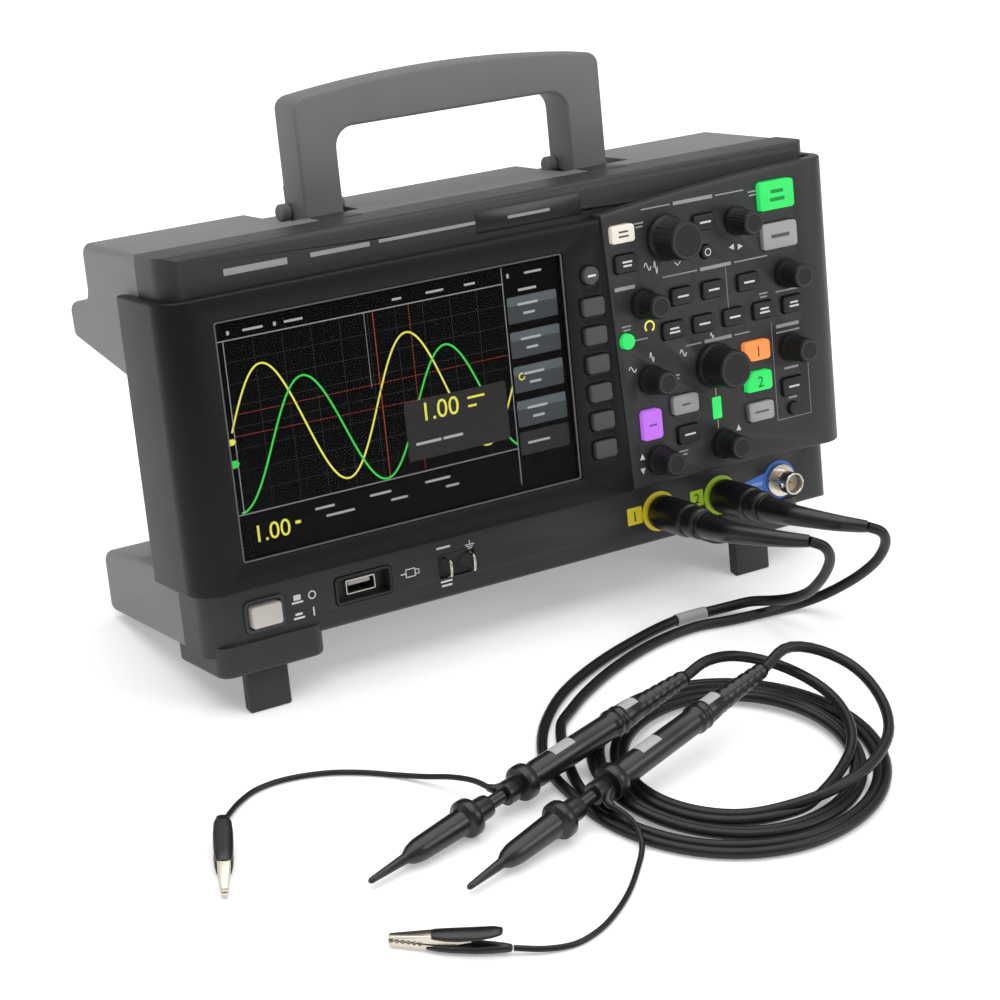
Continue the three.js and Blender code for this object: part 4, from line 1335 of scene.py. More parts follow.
class SCOPE_OT_display(bpy.types.Operator):
    """Build the display: its panel, its lit traces, frame lines, menu and readings, and the clear window"""

    bl_idname = "scope.display"
    bl_label = "Display"

    def execute(self, context):
        y = SCREEN_FACE
        panel = build(
            "lcd",
            [
                prism(
                    box_outline(SCREEN["x"], SCREEN["z"], SCREEN["w"] + 2.2, SCREEN["h"] + 2.2, 0.6),
                    3.0,
                    9.4,
                )
            ],
        )
        hand_over(
            panel,
            moulded("lcd_black", (0.0012, 0.0012, 0.0015), 0.4, relief=0.0, shine=0.03),
            stands_for=["lcd_panel"],
        )
        window = build(
            "window",
            [
                prism(
                    box_outline(SCREEN["x"], SCREEN["z"], SCREEN["w"] + 2.6, SCREEN["h"] + 2.6, 0.8),
                    1.1,
                    2.0,
                )
            ],
        )
        hand_over(window, clear_window(), stands_for=["display_window"])
        yellow = trace_yellow()
        green = trace_green()
        red = lit("cursor_red", (0.42, 0.05, 0.015), 0.8)
        grey = lit("line_grey", (0.30, 0.30, 0.31), 0.8)
        dim = lit("grid_grey", (0.018, 0.018, 0.019), 0.6)
        first = [ribbon(wave_points(0.112, 0.418, 0.52, 0.285, 0.012, 0.83), 0.75, y)]
        second = [ribbon(wave_points(0.222, 0.418, 0.455, 0.262, 0.012, 0.83), 0.75, y - 0.03)]
        hand_over(build("trace_1", first), yellow)
        hand_over(build("trace_2", second), green)
        lines = rule(0.0, 0.925, 0.832, 0.925, 0.45, y) + rule(0.0, 0.185, 0.832, 0.185, 0.4, y)
        lines += rule(0.018, 0.925, 0.018, 0.185, 0.35, y) + rule(0.83, 0.995, 0.83, 0.02, 0.35, y)
        lines += rule(0.415, 0.925, 0.415, 0.60, 0.2, y)
        hand_over(build("screen_frame", lines), grey)
        grid = []
        for k in range(1, 10):
            grid += rule(0.018 + 0.0812 * k, 0.92, 0.018 + 0.0812 * k, 0.19, 0.12, y + 0.01)
        for k in range(1, 8):
            grid += rule(0.02, 0.185 + 0.0925 * k, 0.828, 0.185 + 0.0925 * k, 0.12, y + 0.01)
        hand_over(build("screen_grid", grid), dim)
        cursors = rule(0.44, 0.92, 0.44, 0.19, 0.3, y - 0.01, 0) + rule(
            0.545, 0.92, 0.545, 0.19, 0.3, y - 0.01, 60
        )
        cursors += rule(
            0.02, 0.61, 0.828, 0.61, 0.25, y - 0.01, 90
        ) + rule(0.02, 0.52, 0.62, 0.50, 0.25, y - 0.01, 66)
        hand_over(build("screen_cursors", cursors), red)
        self.menu(y)
        self.readings(y)
        return {"FINISHED"}

    def menu(self, y):
        buttons, shade = [], []
        for k in range(4):
            x, z = on_screen(0.915, 0.80 - 0.155 * k)
            buttons.append(prism(box_outline(x, z, 23.5, 10.8, 0.8, 3), y - 0.05, y))
            shade.append(prism(box_outline(x, z + 3.4, 23.3, 3.6, 0.7, 3), y - 0.08, y - 0.03))
        hand_over(build("menu_buttons", buttons), lit("menu_blue", (0.035, 0.045, 0.052), 0.9))
        hand_over(build("menu_shine", shade), lit("menu_shine", (0.09, 0.115, 0.128), 0.9))
        words = dashes_at(0.876, 0.885, [8.5], y - 0.05, 1.0)
        for k in range(4):
            v = 0.80 - 0.155 * k
            words += dashes_at(0.870, v + 0.022, [9.5], y - 0.1, 1.0)
            words += dashes_at(0.885, v - 0.020, [5.5], y - 0.1, 1.0)
        words += dashes_at(0.862, 0.20, [10.5], y - 0.05, 0.9)
        hand_over(build("menu_words", words), word_grey())
        x, z = on_screen(0.915, 0.20)
        plate = [prism(box_outline(x, z, 23.5, 9.5, 0.8, 3), y - 0.03, y)]
        hand_over(build("menu_plate", plate), lit("menu_dim", (0.007, 0.0075, 0.008), 0.8))
        loop_x, loop_z = on_screen(0.862, 0.502)
        hand_over(
            build("menu_loop", ribbon_ring(loop_x, loop_z, 1.3, 0.5, y - 0.1, 60, 290)),
            trace_yellow(),
        )

    def readings(self, y):
        yellow = trace_yellow()
        green = trace_green()
        words = word_grey()
        x, z = on_screen(0.655, 0.37)
        plate = [prism(box_outline(x, z, 47, 24, 1.2, 4), y - 0.12, y - 0.06)]
        hand_over(build("info_plate", plate), lit("info_dark", (0.009, 0.0085, 0.008), 0.7))
        x, z = on_screen(0.605, 0.405)
        hand_over(numeral("info_digits", "1.00", x, z, 10.5, y - 0.15), yellow)
        small = dashes_at(0.69, 0.462, [8.0], y - 0.14, 0.9) + dashes_at(0.69, 0.425, [4.0], y - 0.14, 0.9)
        hand_over(build("info_units", small), yellow)
        hand_over(
            build("info_words", dashes_at(0.525, 0.31, [11.5, 9.0], y - 0.14, 1.1)), words
        )
        x, z = on_screen(0.088, 0.055)
        hand_over(numeral("corner_digits", "1.00", x, z, 9.5, y - 0.04), yellow)
        hand_over(build("corner_units", dashes_at(0.155, 0.10, [2.4], y - 0.04, 1.2)), yellow)
        rows = dashes_at(0.03, 0.955, [1.2], y, 1.5) + dashes_at(0.075, 0.955, [8.5], y)
        rows += dashes_at(0.16, 0.955, [1.2], y, 1.5) + dashes_at(0.19, 0.955, [8.0], y)
        rows += dashes_at(0.50, 0.955, [4.2], y) + dashes_at(0.60, 0.955, [8.0], y) + dashes_at(
            0.715, 0.955, [5.0], y
        )
        rows += dashes_at(0.845, 0.955, [1.0], y, 1.8) + dashes_at(0.90, 0.955, [8.0], y)
        rows += dashes_at(0.215, 0.135, [8.5], y) + dashes_at(0.245, 0.095, [12.5], y)
        rows += dashes_at(0.375, 0.135, [9.5], y) + dashes_at(0.435, 0.095, [7.5], y)
        rows += dashes_at(0.54, 0.135, [11.5], y) + dashes_at(0.60, 0.095, [6.0], y)
        hand_over(build("screen_words", rows), words)
        marks = []
        x, z = on_screen(0.009, 0.50)
        marks.append(
            prism(
                [
                    (x - 1.2, z + 1.2),
                    (x - 1.2, z - 1.2),
                    (x + 0.6, z - 1.2),
                    (x + 1.8, z),
                    (x + 0.6, z + 1.2),
                ],
                y - 0.05,
                y,
            )
        )
        hand_over(build("marker_1", marks), yellow)
        x, z = on_screen(0.009, 0.405)
        marks = [
            prism(
                [
                    (x - 1.6, z + 1.5),
                    (x - 1.6, z - 1.5),
                    (x + 0.8, z - 1.5),
                    (x + 2.2, z),
                    (x + 0.8, z + 1.5),
                ],
                y - 0.05,
                y,
            )
        ]
        hand_over(build("marker_2", marks), green)


def clear_window():
    """The display's clear window: mostly see-through, with a soft reflection."""
    material, nodes, principled = shader("window_clear")
    if nodes is None:
        return material
    links = material.node_tree.links
    place = nodes.new("ShaderNodeTexCoord")
    smear = nodes.new("ShaderNodeTexNoise")
    smear.inputs["Scale"].default_value = 30.0
    gloss = nodes.new("ShaderNodeMapRange")
    gloss.inputs["To Min"].default_value = 0.06
    gloss.inputs["To Max"].default_value = 0.12
    links.new(place.outputs["Object"], smear.inputs["Vector"])
    links.new(smear.outputs["Fac"], gloss.inputs["Value"])
    links.new(gloss.outputs["Result"], principled.inputs["Roughness"])
    principled.inputs["Base Color"].default_value = (0.01, 0.01, 0.01, 1)
    principled.inputs["Alpha"].default_value = 0.12
    principled.inputs["Specular IOR Level"].default_value = 0.25
    return material


# ---- printing on the panel ----
class SCOPE_OT_printing(bpy.types.Operator):
    """Print the panel: group lines, plain bars for wording, arrows, wave signs and the lit strip"""

    bl_idname = "scope.printing"
    bl_label = "Printing"

    def execute(self, context):
        y = -0.02
        grey = silk_grey()
        white = silk_white()
        thin, words, signs = [], [], []

        def header(x0, x1, z, rise, word):
            middle = (x0 + x1) / 2
            slope = rise / (x1 - x0)
            for a, b in ((x0, middle - word / 2 - 1.5), (middle + word / 2 + 1.5, x1)):
                thin.append(ribbon([(a, z + slope * (a - middle)), (b, z + slope * (b - middle))], 0.55, y))
            words.extend(bars(middle, z, [word], y, thick=1.5))

        header(58.0, 110.0, 142.6, 0.0, 20)
        header(66.0, 120.0, 113.2, 0.0, 16)
        header(75.0, 108.0, 82.6, 0.0, 14)
        words.extend(bars(47.0, 112.0, [10.0], y, thick=1.6))
        words.extend(bars(128.0, 82.0, [12.0], y, thick=1.5))
        words.extend(bars(128.0, 79.3, [12.5], y, thick=0.7))
        words.extend(bars(128.5, 63.3, [7.5], y, thick=1.0))
        words.extend(bars(128.2, 50.2, [4.6], y, thick=0.9))
        for x, z in (
            (56.5, 136.6), (114.5, 140.5), (116.5, 96.8), (46.3, 95.4), (68.5, 70.5), (69.5, 37.8)
        ):
            words.extend(bars(x, z, [4.6, 3.6], y, 1.5, 0.65))
        words.extend(bars(129.0, 96.9, [12.0], y, thick=0.7))
        words.extend(bars(53.0, 89.6, [6.5], y, thick=0.5))
        for x0, x1, z0, z1 in ((119.5, 137.5, 41.5, 84.5), (98.0, 98.2, 94.5, 112.0)):
            box = [(x0, z1), (x0, z0), (x1, z0)] if x1 - x0 < 1 else [
                (x0, z1), (x0, z0), (x1, z0), (x1, z1 - 19)
            ]
            for a, b in zip(box, box[1:]):
                thin.append(ribbon([a, b], 0.22, y))

        def arrow(x, z, dx, dz, size=1.3):
            side = (-dz, dx)
            signs.append(
                prism(
                    [
                        (x + dx * size, z + dz * size),
                        (x - dx * size + side[0] * size, z - dz * size + side[1] * size),
                        (x - dx * size - side[0] * size, z - dz * size - side[1] * size),
                    ],
                    y - 0.05,
                    y,
                )
            )

        for x, z, dx, dz in (
            (101.8, 119.8, -1, 0), (106.4, 119.4, 1, 0), (48.6, 40.4, 0, 1),
            (48.4, 34.2, 0, -1), (98.6, 42.8, 0, 1),
        ):
            arrow(x, z, dx, dz)

        def wave_sign(x, z, width, height):
            points = [
                (x + width * (k / 16 - 0.5), z + height * math.sin(2 * math.pi * k / 16)) for k in range(17)
            ]
            signs.append(ribbon(points, 0.45, y))

        for x, z, width, height in (
            (59.0, 118.9, 3.4, 1.6), (63.0, 118.0, 1.6, 2.6), (47.5, 77.8, 3.6, 1.2),
            (57.5, 81.2, 2.0, 2.0), (73.3, 80.0, 3.2, 1.5), (88.5, 84.6, 1.5, 1.2),
        ):
            wave_sign(x, z, width, height)
        signs.append(ribbon([(72.5, 118.4), (74.0, 116.9), (75.5, 118.4)], 0.4, y))
        hand_over(build("print_lines", thin), grey)
        hand_over(build("print_words", words), grey)
        hand_over(build("print_signs", signs), white)
        loop = ribbon_ring(57.6, 94.2, 2.2, 0.75, y, -60, 285)
        hand_over(build("entry_loop", loop), trace_yellow())
        strip = build("signal_strip", [prism(box_outline(88.2, 53.5, 4.6, 9.4, 0.6), -0.35, 0.1)])
        soften_edges(strip, 0.2, 2, 50, lambda p: p.y < 0)
        hand_over(strip, lit("strip_green", colours().green, 0.9))
        tails = [ribbon([(88.2, 62.0), (88.2, 58.6)], 0.4, y), ribbon([(88.2, 48.4), (88.2, 44.6)], 0.4, y)]
        # These printed lines glow a little: painted glow.
        hand_over(
            build("strip_tails", tails), lit("tail_yellow", (0.4, 0.38, 0.12), 0.3)
        )
        self.strip_marks()
        self.brow_marks()
        return {"FINISHED"}

    def brow_marks(self):
        """Plain bars where the maker's wording would be."""
        y = FRAME_FACE - 0.02
        words = bars(-113, 148.0, [27.0], y, thick=2.6) + bars(-76.5, 148.4, [26.0], y, thick=1.8)
        words += bars(-37.5, 148.7, [44.0], y, thick=1.3) + bars(9.5, 148.5, [20.0], y - 0.16, thick=1.2)
        hand_over(build("brow_words", words), silk_grey())

    def strip_marks(self):
        y = FRAME_FACE - 0.02
        white = silk_white()
        signs = []
        signs.append(prism(box_outline(-112.6, 16.6, 3.2, 2.2, 0.3, 2), y - 0.05, y))
        signs.append(prism(box_outline(-112.6, 14.6, 5.0, 0.8, 0.2, 2), y - 0.05, y))
        signs += ribbon_ring(-106.0, 16.2, 1.5, 0.5, y)
        signs.append(prism(box_outline(-112.6, 9.8, 3.2, 0.9, 0.2, 2), y - 0.05, y))
        signs.append(prism(box_outline(-112.6, 8.2, 5.0, 0.8, 0.2, 2), y - 0.05, y))
        signs.append(ribbon([(-106.0, 11.2), (-106.0, 7.6)], 0.6, y))
        plug = [(-63.6, 16.2), (-59.4, 16.2), (-59.4, 13.0), (-63.6, 13.0), (-63.6, 16.2)]
        for start, end in zip(plug, plug[1:]):
            signs.append(ribbon([start, end], 0.4, y))
        signs.append(ribbon([(-59.4, 15.5), (-57.6, 15.5), (-57.6, 13.7), (-59.4, 13.7)], 0.4, y))
        signs.append(ribbon([(-63.6, 14.6), (-66.0, 14.6)], 0.45, y))
        signs += bars(-45.5, 21.4, [6.5], y, thick=0.9)
        signs += bars(-45.5, 6.4, [5.5, 5.0], y, 1.7, 0.8)
        signs.append(ribbon([(-33.2, 21.8), (-33.2, 20.0)], 0.4, y))
        for k in range(3):
            signs.append(
                ribbon([(-35.4 + 0.6 * k, 20.0 - 0.8 * k), (-31.0 - 0.6 * k, 20.0 - 0.8 * k)], 0.4, y)
            )
        hand_over(build("strip_signs", signs), white)
        # The channel tags glow a little: painted glow on print, with no lamp behind it.
        tag = lit("tag_yellow", (0.62, 0.52, 0.015), 0.25)
        plate = build("channel_1_tag", [prism(box_outline(47.5, 13.6, 7.4, 7.4, 0.4), y - 0.12, y + 0.1)])
        hand_over(plate, tag)
        hand_over(
            numeral("channel_1_number", "1", 47.5, 11.2, 6.4, y - 0.15), ink_black()
        )
        plate = build("channel_2_tag", [prism(box_outline(79.7, 14.2, 6.8, 7.0, 0.4), y - 0.12, y + 0.1)])
        hand_over(plate, lit("tag_green", (0.30, 0.50, 0.02), 0.25))
        hand_over(
            numeral("channel_2_number", "2", 79.7, 12.0, 6.0, y - 0.15), ink_black()
        )
        # Painted glow on the blue tag too.
        blue = lit("tag_blue", (0.05, 0.16, 0.55), 0.2)
        wedge = filleted([(100.0, 11.6, 0.3), (117.5, 9.4, 0.3), (117.5, 17.6, 0.3), (100.0, 14.6, 0.3)])
        hand_over(build("external_tag", [prism(wedge, y - 0.12, y + 0.1)]), blue)
        hand_over(
            build("external_words", bars(111.0, 13.4, [8.0], y - 0.12, thick=1.5)),
            moulded("ink_pale_blue", (0.25, 0.4, 0.75), 0.5),
        )


# ---- strip of sockets ----
def ring_part(x, z, inner, outer, y0, y1, sides=48):
    """A flat ring about an axis along y."""
    loops = []
    for r, y in ((inner, y0), (outer, y0), (outer, y1), (inner, y1)):
        loops.append(
            [
                (x + r * math.cos(2 * math.pi * k / sides), y, z + r * math.sin(2 * math.pi * k / sides))
                for k in range(sides)
            ]
        )
    return rings(loops, closed=True)


class SCOPE_OT_sockets(bpy.types.Operator):
    """Build the power button, the sockets with their coloured rings, and the hook terminals"""

    bl_idname = "scope.sockets"
    bl_label = "Sockets"

    def execute(self, context):
        cap_piece = build(
            "power_cap", [prism(box_outline(-127.2, 13.5, 13.2, 9.0, 1.2), FRAME_FACE - 3, FRAME_FACE + 9)]
        )
        soften_edges(cap_piece, 0.8, 4, 50, lambda p: p.y < FRAME_FACE - 2.9)
        hand_over(
            cap_piece,
            moulded("power_white", (0.56, 0.53, 0.50), 0.4),
            "power_button",
            stands_for=["power_button"],
        )
        rim = build(
            "power_rim",
            [prism(box_outline(-127.2, 13.5, 17.4, 13.2, 2.4), FRAME_FACE - 0.7, FRAME_FACE + 1.0)],
        )
        boolean(rim, [prism(box_outline(-127.2, 13.5, 14.4, 10.2, 1.4), 0, 20)])
        soften_edges(rim, 0.35, 3, 50)
        hand_over(rim, moulded("rim_charcoal", (0.05, 0.051, 0.053), 0.4))
        usb = build(
            "usb_well", [prism(box_outline(-83, 14.4, 25.4, 11.4, 1.8), FRAME_FACE - 0.4, FRAME_FACE + 9)]
        )
        boolean(usb, [prism(box_outline(-83, 14.4, 23.4, 9.4, 1.0), 0, FRAME_FACE + 4.5)])
        boolean(usb, [block(-89.4, -76.6, 0, FRAME_FACE + 12, 11.7, 17.1)])
        soften_edges(usb, 0.25, 2, 50, lambda p: p.y < FRAME_FACE)
        hand_over(
            usb,
            moulded("usb_surround", (0.02, 0.02, 0.021), 0.35),
            stands_for=["usb_port"],
        )
        shell = build(
            "usb_shell", [prism(box_outline(-83, 14.4, 13.2, 5.8, 0.5), FRAME_FACE + 2.6, FRAME_FACE + 12)]
        )
        boolean(shell, [prism(box_outline(-83, 14.4, 12.3, 4.9, 0.3), 0, 30)])
        hand_over(shell, nickel())
        tongue = build("usb_tongue", [block(-88, -78, FRAME_FACE + 4, FRAME_FACE + 12, 14.6, 16.4)])
        soften_edges(tongue, 0.2, 2, 40)
        hand_over(tongue, moulded("usb_tongue", (0.5, 0.5, 0.5), 0.4))
        base = build(
            "terminal_base",
            [prism(box_outline(-40, 13.5, 16.4, 9.4, 1.2), FRAME_FACE + 0.8, FRAME_FACE + 5)],
        )
        soften_edges(base, 0.3, 2, 50)
        hand_over(
            base,
            moulded("terminal_black", (0.012, 0.012, 0.013), 0.4),
            stands_for=["probe_terminals"],
        )
        hooks = []
        for x in (-45.5, -34.5):
            loop = [
                (x, FRAME_FACE + 2, 10.2),
                (x, FRAME_FACE - 3.6, 10.2),
                (x, FRAME_FACE - 5, 11.4),
                (x, FRAME_FACE - 5, 15.6),
                (x, FRAME_FACE - 3.6, 16.8),
                (x, FRAME_FACE + 2, 16.8),
            ]
            hooks.append(swept(loop, [0.65] * 6, 12, 5))
        hand_over(build("terminal_hooks", hooks), nickel())
        for i, x in enumerate(BNC_XS):
            self.bnc(i, x)
        return {"FINISHED"}

    def bnc(self, i, x):
        name = ("bnc_channel_1", "bnc_channel_2", "bnc_external")[i]
        shade = ((0.62, 0.52, 0.015), (0.30, 0.50, 0.02), (0.05, 0.16, 0.55))[i]
        ring = build(
            name + "_ring", [ring_part(x, STRIP_Z, 5.6, 8.6, FRAME_FACE - 0.45, FRAME_FACE + 0.2, 64)]
        )
        soften_edges(ring, 0.12, 2, 50)
        # The coloured ring glows a little: painted glow, with no lamp behind it.
        hand_over(ring, lit(("tag_yellow", "tag_green", "tag_blue")[i], shade, 0.25))
        profile = [
            (0.9, 3.4), (3.8, 3.4), (3.9, 3.2), (3.9, -3.2), (4.1, -3.5), (4.6, -3.5),
            (4.8, -3.2), (4.8, 1.6), (4.65, 1.8), (4.65, 2.4), (4.8, 2.6), (4.8, 5.6),
            (7.0, 5.7), (7.2, 6.0), (7.2, 7.3), (7.0, 7.6), (4.8, 7.7), (4.8, 13.0),
            (0.9, 13.0),
        ]
        parts = [turned(profile, x, STRIP_Z, 56)]
        piece = build(name + "_barrel", parts)
        lug = build(
            "lug",
            [
                turned(
                    [(0.01, -1.0), (0.95, -1.0), (1.0, -0.9), (1.0, 0.9), (0.95, 1.0), (0.01, 1.0)],
                    0,
                    0,
                    20,
                )
            ],
        )
        lug.data.transform(
            Matrix.Translation((x, -1.0, STRIP_Z)) @ Matrix.Rotation(
                math.radians(90), 4, "Z"
            ) @ Matrix.Translation((0, -5.0, 0))
        )
        other = build(
            "lug_b",
            [
                turned(
                    [(0.01, -1.0), (0.95, -1.0), (1.0, -0.9), (1.0, 0.9), (0.95, 1.0), (0.01, 1.0)],
                    0,
                    0,
                    20,
                )
            ],
        )
        other.data.transform(
            Matrix.Translation((x, -1.0, STRIP_Z)) @ Matrix.Rotation(
                math.radians(90), 4, "Z"
            ) @ Matrix.Translation((0, 5.0, 0))
        )
        whole = joined([piece, lug, other], name + "_shell")
        hand_over(whole, nickel(), stands_for=[name])
        insulator = build(name + "_insulator", [ring_part(x, STRIP_Z, 1.0, 3.75, -0.6, 3.3)])
        hand_over(insulator, moulded("insulator", (0.42, 0.38, 0.33), 0.5))
        contact = build(
            name + "_contact",
            [
                turned(
                    [(0.35, 0.5), (0.35, -0.9), (0.6, -1.3), (0.95, -1.1), (1.0, 3.0), (0.35, 3.0)],
                    x,
                    STRIP_Z,
                    24,
                )
            ],
        )
        hand_over(contact, plated("gold", (0.75, 0.52, 0.2), 0.2))


# ---- handle and legs ----
class SCOPE_OT_handle(bpy.types.Operator):
    """Build the arched carry handle and its two hinges"""

    bl_idname = "scope.handle"
    bl_label = "Handle"

    def execute(self, context):
        half, leg, top, under = 72.0, 17.5, 205.0, 190.0
        foot = HINGE[1] - 4.7
        outer = filleted(
            [(-half, foot, 0.6), (-half, top - 1.0, 5.0), (half, top - 1.0, 5.0), (half, foot, 0.6)], 8
        )
        arch = []
        for x, z in outer:
            lift = 4.5 * max(0.0, 1 - (x / 69.0) ** 2) if z > top - 8 else 0
            arch.append((x, z + lift))
        ridge = [
            (69 - 138 * k / 24, top - 1 + 4.5 * (1 - ((69 - 138 * k / 24) / 69.0) ** 2))
            for k in range(1, 24)
        ]
        left_side = [p for p in arch if p[0] < 0]
        right_side = [p for p in arch if p[0] > 0]
        lower_left = [p for p in left_side if p[1] < 170]
        upper_left = [p for p in left_side if p[1] > 170]
        upper_right = [p for p in right_side if p[1] > 170]
        lower_right = [p for p in right_side if p[1] < 170]
        ring = lower_left + upper_left + [(x, z) for x, z in reversed(ridge)] + upper_right + lower_right
        piece = build("grip", [prism(ring, 43, 61)])
        gap = [(-half + leg, 130, 0), (-half + leg, under, 8), (half - leg, under, 8), (half - leg, 130, 0)]
        boolean(piece, [prism(filleted(gap, 8), 20, 90)])
        side = filleted([(43, foot, 1.0), (61, foot, 4.6), (61, 230, 0), (43, 230, 0)], 6)
        boolean(piece, [prism(side, -100, 100, "side")], "INTERSECT")
        soften_edges(piece, 1.5, 5, 40)
        bore = turned([(0.01, -60), (2.8, -60), (2.8, 60), (0.01, 60)], 0, 0, 28)
        for sign in (-1, 1):
            tool = build("bore", [bore])
            tool.data.transform(
                Matrix.Translation(
                    (sign * 63.25, HINGE[0], HINGE[1])
                ) @ Matrix.Rotation(math.radians(90), 4, "Z") @ Matrix.Scale(0.25, 4, (0, 1, 0))
            )
            step = piece.modifiers.new("step", "BOOLEAN")
            step.object = tool
            step.solver = "EXACT"
            settle(piece)
            bpy.data.objects.remove(tool)
        hand_over(piece, handle_grey(), "handle", stands_for=["handle"])
        for sign, name in ((-1, "handle_hinge_left"), (1, "handle_hinge_right")):
            middle = 63.25
            parts = [turned([(0.01, -10.4), (2.4, -10.4), (2.4, 10.4), (0.01, 10.4)], 0, 0, 28)]
            for end in (-1, 1):
                centre = end * 11.45
                parts.append(
                    turned(
                        [
                            (0.01, centre - 2.3),
                            (3.0, centre - 2.3),
                            (3.6, centre - 1.7),
                            (3.6, centre + 1.7),
                            (3.0, centre + 2.3),
                            (0.01, centre + 2.3),
                        ],
                        0,
                        0,
                        36,
                    )
                )
            hinge = build(name + "_lugs", parts)
            hinge.data.transform(
                Matrix.Translation(
                    (sign * middle, HINGE[0], HINGE[1])
                ) @ Matrix.Rotation(math.radians(90), 4, "Z")
            )
            hand_over(hinge, case_grey(), stands_for=[name])
        return {"FINISHED"}


class SCOPE_OT_legs(bpy.types.Operator):
    """Build the two tilt legs the instrument leans back on"""

    bl_idname = "scope.legs"
    bl_label = "Tilt legs"

    def execute(self, context):
        for side, left in zip(("left", "right"), LEG_LEFTS):
            low = [(y * math.sin(TILT) - 28.05) / math.cos(TILT) for y in (10.7, 15.7)]
            outline = filleted(
                [
                    (10.7, low[0], 0.8),
                    (10.7, -2.4, 1.6), (13.8, -1.5, 1.2), (15.7, -4.5, 1.5),
                    (15.7, low[1], 0.8),
                ],
                5,
            )
            leg = build(f"leg_{side}", [prism(outline, left, left + LEG_WIDTH, "side")])
            soften_edges(leg, 1.2, 4, 60)
            pocket = block(left + 3.2, left + LEG_WIDTH - 3.2, 14.7, 18, -21, -8)
            boolean(leg, [pocket])
            hand_over(
                leg,
                frame_charcoal(),
                f"tilt_leg_{side}",
                stands_for=[f"tilt_leg_{side}"],
            )
        return {"FINISHED"}


# ---- plugs and probes ----
class SCOPE_OT_plugs(bpy.types.Operator):
    """Build the two plugs on the channel sockets, each with its locking ring"""

    bl_idname = "scope.plugs"
    bl_label = "Plugs"

    def execute(self, context):
        for i in (0, 1):
            x = BNC_XS[i]

            def grip(at, r, y):
                if -13.5 < y < -1.5 and r > 7:
                    return r - 0.3 * max(0.0, math.cos(8 * at)) ** 2
                return r

            profile = [
                (5.2, 6.2), (6.9, 6.2), (7.3, 5.9), (7.5, 5.2), (7.5, -0.5), (7.4, -1.4),
                (7.5, -2.2), (7.5, -12.8), (7.4, -14.0), (7.0, -15.2), (6.2, -15.6),
                (6.1, -16.6), (6.6, -17.0), (6.7, -17.4), (6.7, -22.2), (6.5, -22.8),
                (5.5, -23.0), (5.1, -23.4), (5.1, -24.8), (5.6, -25.2), (5.75, -26.0),
                (5.2, -27.0), (0.01, -27.0), (0.01, -5.5), (5.2, -5.5),
            ]
            loops = []
            for r, y in profile:
                loop = []
                for k in range(96):
                    at = 2 * math.pi * k / 96
                    reach = grip(at, r, y)
                    loop.append((x + reach * math.cos(at), y, STRIP_Z + reach * math.sin(at)))
                loops.append(loop)
            body = build(f"plug_{i + 1}", [rings(loops, closed=True)])
            hand_over(body, probe_black(), stands_for=[f"bnc_plug_{i + 1}"], smooth=35)
        return {"FINISHED"}


